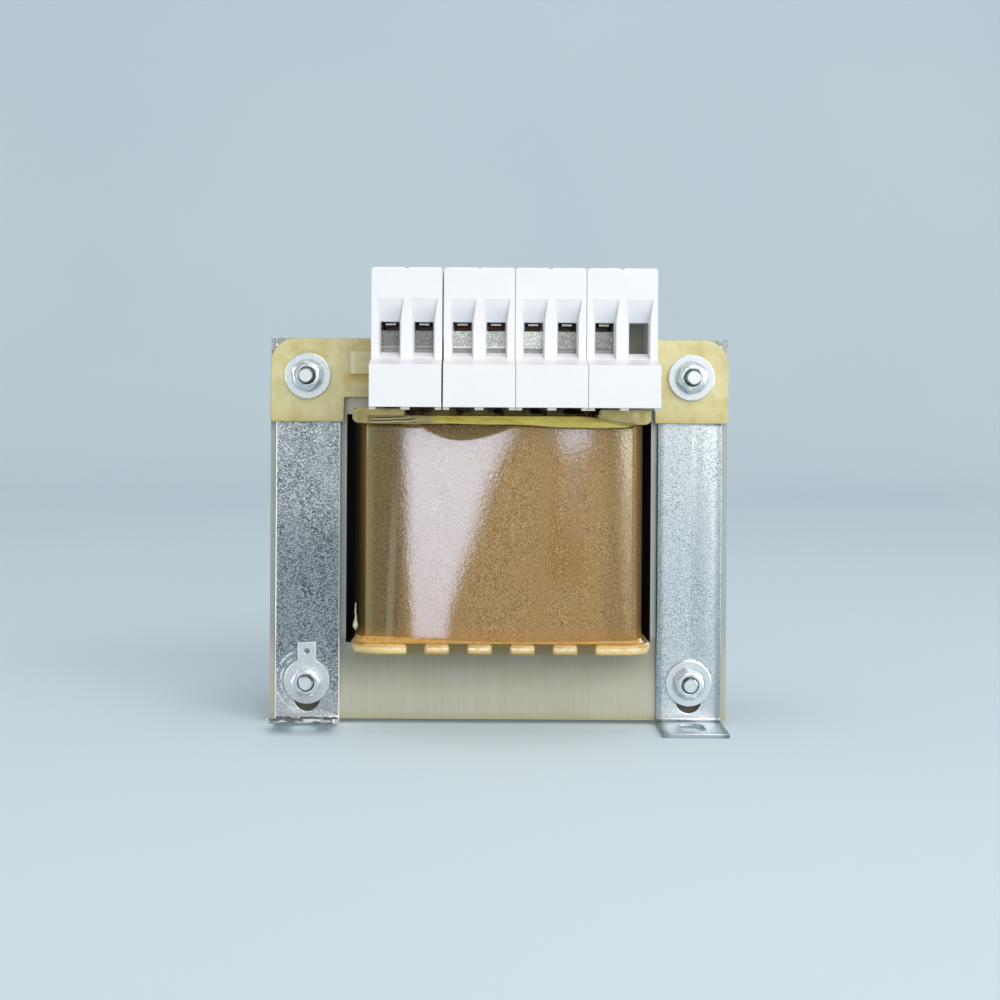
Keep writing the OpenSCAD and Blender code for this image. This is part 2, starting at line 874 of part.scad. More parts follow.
module clamp_screws() {
    color("#c7cacb") ahead()
        for (pole = tap_poles)
            translate([pole_x(pole), screw_y, 0]) difference() {
                union() {
                    translate([0, 0, bar_top]) cylinder(d = screw_d, h = screw_head_z - bar_top);
                    translate([0, 0, screw_head_z]) cylinder(d = screw_head_d, h = screw_head_h);
                }
                slab(
                    driver_slot_w,
                    -screw_head_d,
                    screw_head_d,
                    screw_head_z + screw_head_h / 2,
                    screw_head_z + screw_head_h + cut_past
                );
            }
}

// Corners of a regular ring around a point, square to the lead's run
function ring(p, run, side) = [
    for (k = [0 : lead_sides - 1])
        let (turn = 360 * k / lead_sides)
            p + lead_d / 2 * (cos(turn) * side + sin(turn) * cross(run, side))
];

// The faces of a tube through the given number of rings
function tube_faces(rings) = concat(
    [[for (k = [0 : lead_sides - 1]) k]],
    [
        for (r = [0 : rings - 2], k = [0 : lead_sides - 1])
            let (near = r * lead_sides, far = near + lead_sides, next = (k + 1) % lead_sides)
                [near + k, far + k, far + next, near + next]
    ],
    [[for (k = [lead_sides - 1 : -1 : 0]) (rings - 1) * lead_sides + k]]
);

// A lead from the winding, up through a comb slot and back to a contact bar's tail
module tap_lead(pole) {
    slot_x = bobbin_shift + comb_x(lead_slots[pole]) + lead_shifts[pole] * (comb_slot_w - lead_d) / 3;
    heading = [pole_x(pole) - slot_x, chamber_back + bar_t - lead_y, 0];
    run = heading / norm(heading);
    side = [-run[1], run[0], 0];
    up = [0, 0, 1];
    start = [slot_x, lead_y, coil_top + layer_play];
    corner = [slot_x, lead_y, lead_z - lead_d];
    end_gap = layer_play + lead_d / 2 * abs(side[1]);
    end = [slot_x, lead_y, lead_z] + run * (norm(heading) - end_gap / abs(run[1]));
    bend = [
        for (a = [0 : 30 : 90])
            ring(corner + lead_d * ((1 - cos(a)) * run + sin(a) * up), sin(a) * run + cos(a) * up, side)
    ];
    rings = concat([ring(start, up, side)], bend, [ring(end, run, side)]);
    color("#b5652d") ahead()
        polyhedron([for (r = rings) for (p = r) p], tube_faces(len(rings)));
}

e_laminations();
i_laminations();
bobbin();
winding();
paper_wrap();
film_wrap();
edge_tape();
front_left_bracket();
front_right_bracket();
rear_left_bracket();
rear_right_bracket();
core_bolts();
core_nuts();
front_washers();
rear_washers();
earth_tag();
terminal_plate();
terminal_rail();
for (i = [1 : blocks])
    terminal_block(i - 1);
for (pole = tap_poles) {
    clamp_cage(pole);
    contact_bar(pole);
    tap_lead(pole);
}
clamp_screws();
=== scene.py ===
"""Looks of an open-frame autotransformer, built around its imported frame. Metres, +Z up, terminals to -Y."""
import math

import bmesh
import bpy
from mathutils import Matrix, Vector, noise


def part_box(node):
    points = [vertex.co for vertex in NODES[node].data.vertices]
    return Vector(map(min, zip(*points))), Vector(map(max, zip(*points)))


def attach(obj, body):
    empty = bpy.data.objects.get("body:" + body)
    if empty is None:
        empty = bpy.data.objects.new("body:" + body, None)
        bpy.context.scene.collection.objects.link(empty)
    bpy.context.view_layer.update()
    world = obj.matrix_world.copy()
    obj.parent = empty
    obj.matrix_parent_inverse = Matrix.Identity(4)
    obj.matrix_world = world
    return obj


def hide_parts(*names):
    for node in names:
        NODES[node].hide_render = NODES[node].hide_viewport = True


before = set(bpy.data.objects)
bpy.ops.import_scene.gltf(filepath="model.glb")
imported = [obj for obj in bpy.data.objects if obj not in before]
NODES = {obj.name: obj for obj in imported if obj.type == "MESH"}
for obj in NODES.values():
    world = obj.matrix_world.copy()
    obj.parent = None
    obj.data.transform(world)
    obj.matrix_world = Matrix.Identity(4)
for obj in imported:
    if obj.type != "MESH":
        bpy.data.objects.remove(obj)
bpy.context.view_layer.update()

MM = 0.001
IMAGE_PX = 1000
SENSOR_MM = 36.0

# Camera: where the photograph was taken from, in millimetres and pixels
CAMERA_AT = Vector((-6.4, -465.25, 85.1))
FOCAL_PX = 1711.0
PRINCIPAL_PX = (475.0, 400.0)
ROLL_DEG = 0.35

# Stage
FLOOR_REACH = 3.0
SWEEP_START = 1.1
SWEEP_RADIUS = 0.6
SWEEP_TOP = 3.0
SWEEP_STEPS = 24

# Places on the part that the looks refer to
FILM_LOW, FILM_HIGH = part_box("film_wrap")
TAPE_LOW, TAPE_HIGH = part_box("edge_tape")
BOLTS_LOW, BOLTS_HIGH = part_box("core_bolts")
CORE_LOW, CORE_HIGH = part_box("e_laminations")
TAG_LOW, TAG_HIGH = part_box("earth_tag")
RAIL_LOW, RAIL_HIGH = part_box("terminal_rail")
BOBBIN_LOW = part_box("bobbin")[0]
PLATE_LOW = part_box("terminal_plate")[0]
CAGE_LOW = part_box("clamp_cage_1")[0]
BLOCK_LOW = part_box("terminal_block_1")[0]
UPPER_FRONT = CORE_LOW.y - 19.5 * MM
LEG_MID = 50 * MM
LEG_INSIDE = 40 * MM
STRAP_HALF = 8.5 * MM
BOLT_HALF_Z = 40 * MM
CORNERS = ("front_left", "front_right", "rear_left", "rear_right")
PRESSED = ("core_nuts", "front_washers", "rear_washers")
POLES_IN_USE = range(1, 8)

# From left to right: brightness of each clamp's skirt, and of the painted highlight line along its fold
CLAMP_TONES = (0.40, 0.43, 0.97, 0.97, 1.2, 0.64, 0.53)
CLAMP_HIGHLIGHTS = (0.3, 0.2, 0.8, 0.8, 0.2, 0.15, 0.0)

# The wrapped coil seen from above, as the CAD draws it
COIL_HALF_X = (FILM_HIGH.x - FILM_LOW.x) / 2
COIL_HALF_Y = (CORE_HIGH.y - CORE_LOW.y) / 2 + 17 * MM
COIL_MID = (CORE_LOW + CORE_HIGH) / 2
COIL_CORNER = 6 * MM
COIL_BULGE = 1.4 * MM
BULGE_R = (COIL_HALF_X ** 2 + COIL_BULGE ** 2) / (2 * COIL_BULGE)

# The rim of the wrap: how far its front turns in at the upper end, as an arc
RIM_TALL = 3.9 * MM
RIM_SHORT = 0.7 * MM
RIM_MID = -10.2 * MM
RIM_REACH_LEFT = 10 * MM
RIM_REACH_RIGHT = 14 * MM
RIM_POWER = 1.8


def srgb(r, g, b):
    """A linear colour from display values of 0 to 255."""
    def linear(v):
        v /= 255
        return v / 12.92 if v <= 0.04045 else ((v + 0.055) / 1.055) ** 2.4
    return (linear(r), linear(g), linear(b), 1.0)


def smoothstep(low, high, value):
    """0 below low, 1 above high, and a smooth rise between them."""
    t = min(1.0, max(0.0, (value - low) / (high - low)))
    return t * t * (3 - 2 * t)


# Materials

class Shade:
    """A node material around one Principled shader, with short calls for the nodes it uses.

    Its base colour is painted in layers, and done() hands it to the shader. Three numbers are a display colour.
    """

    def __init__(self, name, **sockets):
        self.mat = bpy.data.materials.new(name)
        self.mat.use_nodes = True
        self.tree = self.mat.node_tree
        self.bsdf = self.tree.nodes["Principled BSDF"]
        self.place = self.node("ShaderNodeTexCoord").outputs["Object"]
        self.x, self.y, self.z = self.axes(self.place)
        normal = self.node("ShaderNodeNewGeometry").outputs["True Normal"]
        _, self.facing_y, self.facing_z = self.axes(normal)
        self.colour = None
        self.set(**sockets)

    def node(self, kind, **settings):
        made = self.tree.nodes.new(kind)
        for key, value in settings.items():
            setattr(made, key, value)
        return made

    def feed(self, socket, value):
        """Links a socket to another, or sets its value."""
        if isinstance(value, bpy.types.NodeSocket):
            self.tree.links.new(value, socket)
        elif isinstance(value, tuple) and len(value) == 3:
            socket.default_value = srgb(*value)
        else:
            socket.default_value = value

    def set(self, **sockets):
        """Sets or links the shader's inputs, with spaces in their names as underscores."""
        for key, value in sockets.items():
            self.feed(self.bsdf.inputs[key.replace("_", " ")], value)

    def done(self, **sockets):
        """Sets the last inputs and the painted base colour, and gives the material."""
        self.set(Base_Color=self.colour, **sockets)
        return self.mat

    def axes(self, vector):
        made = self.node("ShaderNodeSeparateXYZ")
        self.feed(made.inputs[0], vector)
        return made.outputs

    def stretched(self, x, y, z):
        made = self.node("ShaderNodeMapping")
        self.feed(made.inputs["Vector"], self.place)
        made.inputs["Scale"].default_value = (x, y, z)
        return made.outputs["Vector"]

    def noise(self, grain_mm, detail=2.0, rough=0.5, at=None):
        """Noise whose blobs are about grain_mm across."""
        made = self.node("ShaderNodeTexNoise")
        self.feed(made.inputs["Vector"], at or self.place)
        made.inputs["Scale"].default_value = 1 / (grain_mm * MM)
        made.inputs["Detail"].default_value = detail
        made.inputs["Roughness"].default_value = rough
        return made.outputs["Fac"]

    def cells(self, grain_mm, at=None):
        """A random value for each cell of about grain_mm."""
        made = self.node("ShaderNodeTexVoronoi")
        self.feed(made.inputs["Vector"], at or self.place)
        made.inputs["Scale"].default_value = 1 / (grain_mm * MM)
        return self.axes(made.outputs["Color"])[0]

    def calc(self, operation, a, b=0.0, c=0.0):
        made = self.node("ShaderNodeMath", operation=operation)
        for socket, value in zip(made.inputs, (a, b, c)):
            self.feed(socket, value)
        return made.outputs[0]

    def plus(self, a, b):
        return self.calc("ADD", a, b)

    def minus(self, a, b):
        return self.calc("SUBTRACT", a, b)

    def absolute(self, value):
        return self.calc("ABSOLUTE", value)

    def scaled(self, value, factor, plus):
        return self.calc("MULTIPLY_ADD", value, factor, plus)

    def larger(self, a, b):
        return self.calc("MAXIMUM", a, b)

    def times(self, first, *others):
        for other in others:
            first = self.calc("MULTIPLY", first, other)
        return first

    def length(self, a, b):
        """Length of a flat vector."""
        return self.calc("SQRT", self.plus(self.times(a, a), self.times(b, b)))

    def between(self, value, low, high, to_low=0.0, to_high=1.0):
        """Maps low to to_low and high to to_high, smoothly and clamped."""
        made = self.node("ShaderNodeMapRange", interpolation_type="SMOOTHSTEP")
        if low > high:
            low, high, to_low, to_high = high, low, to_high, to_low
        keys = ("Value", "From Min", "From Max", "To Min", "To Max")
        for key, v in zip(keys, (value, low, high, to_low, to_high)):
            self.feed(made.inputs[key], v)
        return made.outputs["Result"]

    def span(self, value, low, high, start=0.0, to=(0.0, 1.0)):
        """Like between, with low and high in millimetres from a start."""
        return self.between(value, start + low * MM, start + high * MM, *to)

    def strip(self, value, low, high, soft, start=0.0):
        """1 from low to high, in millimetres from a start, with soft flanks outside them."""
        return self.times(self.span(value, low - soft, low, start), self.span(value, high + soft, high, start))

    def mix(self, factor, a, b, blend="MIX"):
        made = self.node("ShaderNodeMix", data_type="RGBA", blend_type=blend)
        self.feed(made.inputs["Factor"], factor)
        self.feed(made.inputs[6], a)
        self.feed(made.inputs[7], b)
        return made.outputs[2]

    def paint(self, mask, colour, share=1.0, blend="MIX"):
        """Covers the base colour with another, by a share, where the mask is 1."""
        self.colour = self.mix(self.times(mask, share), self.colour, colour, blend)

    def tint(self, mask, colour, share=1.0):
        """Multiplies the base colour with another, by a share, where the mask is 1."""
        self.paint(mask, colour, share, "MULTIPLY")

    def ramp(self, factor, *stops):
        """Runs through display colours, each at its position."""
        made = self.node("ShaderNodeValToRGB")
        self.feed(made.inputs[0], factor)
        points = made.color_ramp.elements
        while len(points) < len(stops):
            points.new(1.0)
        for point, (position, colour) in zip(points, stops):
            point.position = position
            point.color = srgb(*colour)
        return made.outputs["Color"]

    def grey(self, value):
        """A grey colour of the given linear value."""
        made = self.node("ShaderNodeCombineColor")
        for socket in made.inputs:
            self.feed(socket, value)
        return made.outputs[0]

    def bump(self, height, depth_mm, strength=1.0, over=None):
        made = self.node("ShaderNodeBump")
        made.inputs["Strength"].default_value = strength
        made.inputs["Distance"].default_value = depth_mm * MM
        self.feed(made.inputs["Height"], height)
        if over is not None:
            self.feed(made.inputs["Normal"], over)
        return made.outputs["Normal"]

    def soft_edges(self, radius_mm):
        """A normal that turns softly over sharp edges."""
        made = self.node("ShaderNodeBevel", samples=4)
        made.inputs["Radius"].default_value = radius_mm * MM
        return made.outputs["Normal"]


def dress(material, *names):
    """Gives CAD nodes a material through their slots."""
    for name in names:
        data = NODES[name].data
        data.materials.clear()
        data.materials.append(material)


def zinc_sheet(name, dark, light, smear_share, scuffed_and_highlit=False):
    """Bright zinc plating: fine crystals, smears and a painted highlight where the strap turns into its foot, then
    either the strap's own wear with painted light and shade, or painted shade alone.
    """
    s = Shade(name)
    crystal = s.cells(0.23)
    fine = s.noise(0.15, 2.0, 0.6)
    smear = s.noise(9.0, 3.0, 0.6, s.stretched(1.6, 1.0, 0.5))
    grain = s.scaled(crystal, 0.75, s.times(fine, 0.25))
    s.colour = s.ramp(grain, (0.15, dark), (0.6, light), (0.85, (240, 245, 247)))
    s.paint(s.between(smear, 0.35, 0.7), (214, 221, 226), smear_share)
    # Painted highlight across the bend above the foot.
    bend_highlight = s.span(s.z, 11, 4)
    s.paint(bend_highlight, (226, 232, 236), 0.45)
    off_mid = s.absolute(s.minus(s.absolute(s.x), LEG_MID))
    # One strap gets its wear with painted light and shade, the others painted shade alone.
    if scuffed_and_highlit:
        scuffs_and_highlights(s, smear, off_mid)
    else:
        clean_strap_shade(s, off_mid)
    return s.done(Roughness=s.between(grain, 0.2, 0.8, 0.42, 0.28), Normal=s.bump(grain, 0.03, 0.5))


def scuffs_and_highlights(s, smear, off_mid):
    """Rubbed rings, and painted light: a darker band across the middle, shade where the strap turns into its foot,
    dark and bright streaks on the foot's tip, and highlights along the edges.
    """
    # Painted shade: a band across the middle is made darker.
    middle_shade = s.strip(s.z, 22, 45, 16)
    s.tint(middle_shade, (216, 218, 220))
    s.paint(scuff_arc(s), (250, 252, 253), 0.9)
    # Painted shade: a broken dark line in the bend's crease.
    bend_shade_line = s.times(s.strip(s.z, 1.35, 1.8, 0.15), s.between(s.noise(1.5), 0.35, 0.5))
    s.paint(bend_shade_line, (64, 66, 68), 0.8)
    # Painted shade and reflections: dark and bright streaks on the foot's tip.
    run = s.noise(0.9, 3.0, 0.6, s.stretched(0.25, 1.0, 1.0))
    foot_tip = s.span(s.y, -15, -17, CORE_LOW.y)
    s.paint(foot_tip, s.ramp(run, (0.42, (40, 44, 46)), (0.58, (206, 212, 214))), 0.8)
    # Painted highlight: bright lines along the strap's edges, less metallic there so they stay bright.
    edge_highlight = s.span(off_mid, -0.4, -0.3, STRAP_HALF)
    edge_highlight = s.times(edge_highlight, s.between(smear, 0.3, 0.5, 0.5, 1.0))
    s.paint(edge_highlight, (252, 253, 253), 0.9)
    s.set(Metallic=s.between(edge_highlight, 0.0, 1.0, 1.0, 0.35))


def clean_strap_shade(s, off_mid):
    """Painted shade: slightly darker margins, foot and outer side."""
    margin = s.span(off_mid, -2.2, -0.8, STRAP_HALF)
    s.tint(margin, (190, 195, 198), 0.9)
    foot = s.span(s.z, 2.2, 1.6)
    s.tint(foot, (214, 219, 222), 0.8)
    outer = s.span(s.absolute(s.x), 4.5, 7, LEG_MID)
    s.tint(outer, (230, 233, 235), 0.8)
    s.set(Metallic=1.0)


def scuff_arc(s):
    """The rings that a turned washer rubbed into the plating, on its left side only."""
    bolt_x = (TAG_LOW.x + TAG_HIGH.x) / 2
    bolt_z = TAG_LOW.z + (TAG_HIGH.x - TAG_LOW.x) / 2
    half_width = 0.45
    from_axis = s.length(s.minus(s.x, bolt_x), s.minus(s.z, bolt_z))
    rings = 0.0
    for ring_r in (6.9 * MM, 8.3 * MM):
        off = s.absolute(s.minus(from_axis, ring_r))
        rings = s.larger(rings, s.span(off, half_width, 0))
    left = s.span(s.x, -2.5, -4.5, bolt_x)
    broken = s.between(s.noise(1.8), 0.36, 0.52)
    return s.times(rings, left, broken)


def zinc_fixing():
    """Bluish zinc on turned and pressed fixings: a little darker on the nuts' faces, bright on the bolts' ends,
    with painted shade round the nuts and in the threads.
    """
    s = Shade("zinc_fixing", Metallic=1.0)
    grain = s.noise(0.35, 3.0, 0.6)
    s.colour = s.ramp(grain, (0.3, (206, 215, 219)), (0.7, (232, 238, 241)))
    lower = s.span(s.z, 60, 40)
    s.paint(lower, (244, 248, 250), 0.6)
    off_x = s.minus(s.absolute(s.x), LEG_MID)
    off_z = s.minus(s.absolute(s.minus(s.z, COIL_MID.z)), BOLT_HALF_Z)
    from_axis = s.length(off_x, off_z)
    flat = s.between(s.absolute(s.facing_y), 0.8, 0.9)
    nut_face = s.times(s.strip(from_axis, 2.1, 3.2, 0.15), flat)
    s.tint(nut_face, (242, 246, 247), 0.9)
    # Painted contact shadow round each nut on its washer.
    seat = s.times(s.strip(from_axis, 3.6, 4.1, 0.5), flat)
    s.tint(seat, (190, 197, 202), 0.7)
    # Painted shade on the bolt's thread round its end, between bolt and nut.
    thread = s.strip(from_axis, 1.72, 2.0, 0.1)
    s.paint(thread, (104, 108, 112), 0.7)
    tip = s.times(s.span(from_axis, 1.55, 1.35), flat)
    s.paint(tip, (246, 248, 248), 0.4)
    return s.done(Roughness=s.between(grain, 0.3, 0.7, 0.36, 0.26), Normal=s.bump(grain, 0.02, 0.4))


def tinned_brass():
    s = Shade("tinned_tag", Metallic=1.0)
    grain = s.noise(0.5, 4.0, 0.65)
    s.colour = s.ramp(grain, (0.3, (206, 215, 218)), (0.7, (238, 243, 245)))
    return s.done(Roughness=s.between(grain, 0.3, 0.7, 0.42, 0.3), Normal=s.bump(grain, 0.03, 0.5))


def core_steel():
    """Varnished silicon steel: smooth on the faces, sheet by sheet on the edges, with painted shade on the legs and
    under the straps, and painted black for the shade within the windows.
    """
    s = Shade("core_steel")
    sheet_t = 0.5 * MM
    out = s.absolute(s.x)
    waver = s.times(s.noise(6.0), 0.25 * sheet_t)
    turn = s.calc("FRACT", s.calc("DIVIDE", s.plus(s.y, waver), sheet_t))
    from_seam = s.absolute(s.minus(turn, 0.5))
    on_edge = s.between(s.absolute(s.facing_y), 0.7, 0.3)
    on_face = s.minus(1.0, on_edge)
    seam = s.times(s.between(from_seam, 0.34, 0.47), on_edge)
    sheet_tone = s.cells(0.5, s.stretched(0.01, 1.0, 0.01))
    brushed = s.noise(0.5, 2.0, 0.5, s.stretched(1.0, 1.0, 0.015))
    patch = s.noise(14.0, 3.0, 0.6)
    s.colour = s.ramp(brushed, (0.2, (193, 190, 172)), (0.8, (202, 199, 182)))
    # Painted shade on the legs beside the straps, darker on the left than on the right.
    leg_shade = s.times(s.span(out, -1, 1, LEG_INSIDE), s.span(s.z, 14, 26))
    right = s.span(s.x, -1, 1)
    s.paint(leg_shade, s.ramp(right, (0.0, (155, 164, 167)), (1.0, (171, 178, 181))), 0.8)
    s.paint(on_edge, s.ramp(sheet_tone, (0.0, (122, 121, 114)), (1.0, (168, 167, 158))))
    s.paint(s.between(patch, 0.5, 0.75), (190, 180, 142), 0.3)
    # Painted shadow on the core under the straps, seen through their slots.
    shadow_under_strap = s.times(s.strip(out, -6, 6, 1, LEG_MID), s.span(s.z, 18, 15))
    s.paint(shadow_under_strap, (62, 56, 46), 0.85)
    paint_yokes(s, out, on_face)
    foot_line = s.span(s.z, 2.6, 0, CORE_LOW.z)
    s.paint(foot_line, (190, 176, 118), 0.5)
    s.paint(seam, (38, 36, 30), 0.75)
    corner = s.times(s.span(out, 55, 56), s.span(s.z, 88, 90), on_face)
    s.paint(corner, s.ramp(s.cells(0.23), (0.15, (124, 126, 124)), (0.85, (216, 219, 219))), 0.8)
    # Painted shade: the faces inside the windows are painted black, dull and not metallic.
    window_low, window_high = 21, 81.4
    between_legs = s.span(out, 0.6, 0.3, LEG_INSIDE)
    in_window = s.times(between_legs, s.strip(s.z, window_low, window_high, 0.1), on_edge)
    s.paint(in_window, (26, 25, 22))
    metal, rough_inside = 0.7, 0.95
    rough = s.larger(s.between(patch, 0.3, 0.7, 0.52, 0.42), s.times(in_window, rough_inside))
    s.set(Metallic=s.scaled(in_window, -metal, metal), Roughness=rough)
    return s.done(Normal=s.bump(s.minus(s.times(brushed, 0.2), seam), 0.05, 0.5))


def paint_yokes(s, out, on_face):
    """The lower yoke gets painted shade towards the flange and a painted shadow of the tabs just below it, and the
    upper one a painted warm glow behind the gap there.
    """
    lower_yoke = s.times(s.span(out, 3, 1, LEG_INSIDE), s.span(s.z, 24, 22), on_face)
    # Painted shade: the lower yoke darkens towards the flange above it, and is a little lighter near the floor.
    shade_towards_flange = s.span(s.z, 7, 19, to=(1.1, 0.66))
    s.tint(lower_yoke, s.grey(shade_towards_flange))
    # Painted shadow of the flange's tabs on the yoke just below them, yellowish brown.
    flange_shadow = s.times(s.span(s.z, 17.6, 19.2), s.span(out, 38, 37), lower_yoke)
    s.paint(flange_shadow, (170, 136, 60), 0.6)
    # Painted light: a warm yellow glow on the upper yoke, seen through the gap between the upper flange and the
    # terminal blocks.
    glow_behind_gap = s.times(s.span(out, 28, 24), s.strip(s.z, 80.5, 84, 0.5), on_face)
    s.paint(glow_behind_gap, (222, 208, 124), 0.9)


def bobbin_nylon():
    """Cream nylon under thin amber varnish, which pools on the lower flange, with a painted highlight along its
    tabs and painted shade along their lower edge.
    """
    s = Shade("bobbin_nylon", Subsurface_Weight=0.12, Subsurface_Scale=0.6 * MM, Coat_Weight=1.0)
    s.set(Coat_Roughness=0.06, Roughness=0.34)
    flange = FILM_LOW.z
    blot = s.noise(3.2, 4.0, 0.6)
    fine = s.noise(0.5, 2.0)
    s.colour = s.ramp(fine, (0.3, (198, 164, 90)), (0.7, (210, 180, 108)))
    tabs = s.span(s.absolute(s.minus(s.x, 0.5 * MM)), 21, 24)
    s.paint(tabs, s.ramp(fine, (0.3, (236, 206, 130)), (0.7, (244, 220, 150))))
    s.paint(s.between(blot, 0.46, 0.66), (214, 160, 76), 0.35)
    upper = s.span(s.z, 60, 78)
    s.paint(upper, s.ramp(blot, (0.35, (204, 190, 122)), (0.65, (184, 160, 84))), 0.9)
    at_ends = s.span(s.absolute(s.minus(s.x, 4 * MM)), 10, 26, to=(0.2, 0.85))
    pooled = s.times(s.strip(s.z, -0.75, 1, 0.35, flange), at_ends)
    s.paint(pooled, s.ramp(blot, (0.35, (228, 184, 104)), (0.65, (214, 162, 80))))
    # Painted highlight along the middle of the tabs' fronts, broken into spots.
    front = s.between(s.facing_y, -0.6, -0.8)
    spots = s.between(s.noise(2.4), 0.4, 0.56, 0.35, 1.0)
    tab_highlight = s.times(s.strip(s.z, -1.35, -1.1, 0.35, flange), front, spots)
    s.paint(tab_highlight, (252, 242, 210), 0.7)
    # Painted shade along the lower edge of the tabs.
    lower_edge_shade = s.span(s.z, 0.75, 0.3, BOBBIN_LOW.z)
    s.paint(lower_edge_shade, (140, 116, 54), 0.6)
    return s.done(Normal=s.bump(blot, 0.06, 0.4))


def kraft_under_film():
    """Kraft paper with short fibres, seen through tight clear film."""
    s = Shade("kraft_under_film", Coat_Roughness=0.03, Coat_IOR=1.55, Roughness=0.7, Specular_IOR_Level=0.0)
    grain = s.noise(0.27, 3.0, 0.75, s.stretched(1.0, 1.0, 0.8))
    fibre = s.noise(0.22, 2.0, 0.6, s.stretched(1.0, 1.0, 0.5))
    cloud = s.noise(7.0, 3.0, 0.6)
    speck = s.scaled(grain, 0.6, s.times(fibre, 0.4))

    def fibres(dark, mid, light):
        return s.ramp(speck, (0.36, dark), (0.5, mid), (0.64, light))

    s.colour = fibres((88, 62, 26), (160, 125, 70), (212, 180, 124))
    s.paint(s.between(cloud, 0.35, 0.7), (168, 130, 82), 0.35)
    # Painted shade: darker olive towards the left corner, and a little towards the right one.
    olive_shade = s.plus(s.span(s.x, -21, -27, to=(0.0, 0.78)), s.span(s.x, 25, 29, to=(0.0, 0.3)))
    s.paint(olive_shade, fibres((46, 36, 12), (84, 70, 28), (130, 112, 60)))
    under_rim = rim_shade(s, speck)
    # Painted shade where the front turns in under the rim.
    s.paint(under_rim, fibres((66, 54, 34), (124, 104, 74), (176, 152, 116)), 0.9)
    side = paint_folds(s, cloud)
    lap_slant = 0.035
    lap = s.times(s.strip(s.scaled(s.z, -lap_slant, s.x), -29.2, -28.2, 0.7), s.span(s.z, 72, 46))
    s.paint(lap, (160, 150, 122), 0.4)
    base = s.span(s.z, 5.0, 0.2, FILM_LOW.z)
    s.paint(base, (192, 138, 58), 0.45)
    bare = s.larger(s.times(side, 0.95), s.times(under_rim, 0.9))
    s.set(Coat_Weight=s.minus(1.0, bare), Coat_Normal=s.bump(s.noise(0.8, 3.0, 0.6), 0.008))
    return s.done(Normal=s.bump(speck, 0.05, 0.5))


def rim_shade(s, speck):
    """The part of the wrap's front that turns in under its upper rim, with a grainy edge."""
    off = s.minus(s.x, RIM_MID)
    across = s.larger(s.times(off, -1 / RIM_REACH_LEFT), s.times(off, 1 / RIM_REACH_RIGHT))
    arc = s.scaled(s.calc("POWER", across, RIM_POWER), -RIM_TALL, RIM_TALL)
    above = s.plus(s.minus(s.z, FILM_HIGH.z), arc)
    above = s.scaled(s.minus(speck, 0.5), 3 * MM, above)
    in_front = s.span(s.y, 0, -5, COIL_MID.y)
    return s.times(s.span(above, -0.5, 0), in_front)


def paint_folds(s, cloud):
    """The folds down the wrap's front corners, with painted highlights along the left one, and the sides that turn
    back from them, in painted shade. It gives the sides' mask.
    """
    fold = 34.2 * MM
    off_mid = s.minus(s.x, 0.5 * MM)
    out = s.absolute(off_mid)
    # Painted highlight: a lighter band just inside the left fold.
    glow = s.strip(off_mid, 0.2, 0.5, 1.9, -fold)
    s.paint(glow, (142, 130, 86), 0.55)
    # Painted shade on the sides as they turn back from the folds, darkest at the far edge, and on the left also
    # towards the bottom.
    round_it = s.between(out, fold, COIL_HALF_X)
    left_side_shade = s.ramp(round_it, (0.0, (110, 86, 46)), (0.6, (90, 66, 31)), (1.0, (34, 24, 9)))
    left_side_shade = s.mix(s.span(s.z, 74, 30, to=(0.0, 0.45)), left_side_shade, (46, 32, 12))
    right_side_shade = s.ramp(round_it, (0.0, (118, 96, 58)), (1.0, (58, 42, 20)))
    side = s.span(out, 0, 0.3, fold)
    s.paint(side, s.mix(s.span(s.x, -1, 1), left_side_shade, right_side_shade))
    # Painted highlight: a thin light line along the left fold, strongest near the top.
    fold_line_sheen = s.plus(s.span(s.z, 28, 60, to=(0.0, 0.1)), s.span(s.z, 70, 78, to=(0.0, 0.6)))
    highlight_line = s.times(s.strip(off_mid, 0, 0.2, 0.15, -fold), fold_line_sheen)
    s.paint(s.times(highlight_line, s.between(cloud, 0.3, 0.6, 0.5, 1.0)), (212, 206, 174))
    return side


def amber_varnish():
    """Set impregnating varnish: clear amber with small bubbles."""
    s = Shade("amber_varnish", Coat_Weight=1.0, Coat_Roughness=0.05, Subsurface_Weight=0.25)
    s.set(Subsurface_Scale=0.5 * MM, Roughness=0.2)
    blot = s.noise(1.6, 4.0, 0.6)
    s.colour = s.ramp(blot, (0.3, (190, 138, 46)), (0.7, (214, 168, 74)))
    bubble = s.between(s.cells(0.5), 0.92, 0.98)
    s.paint(bubble, (250, 236, 190), 0.3)
    return s.done(Normal=s.bump(blot, 0.06, 0.4))


def milky_resin():
    """A run of resin that set milky in a gap."""
    s = Shade("milky_resin", Roughness=0.3, Coat_Weight=0.6, Coat_Roughness=0.1)
    tone = s.noise(1.0, 3.0, 0.6)
    s.colour = s.ramp(tone, (0.3, (170, 172, 140)), (0.7, (226, 226, 204)))
    return s.done(Normal=s.bump(tone, 0.08, 0.5))


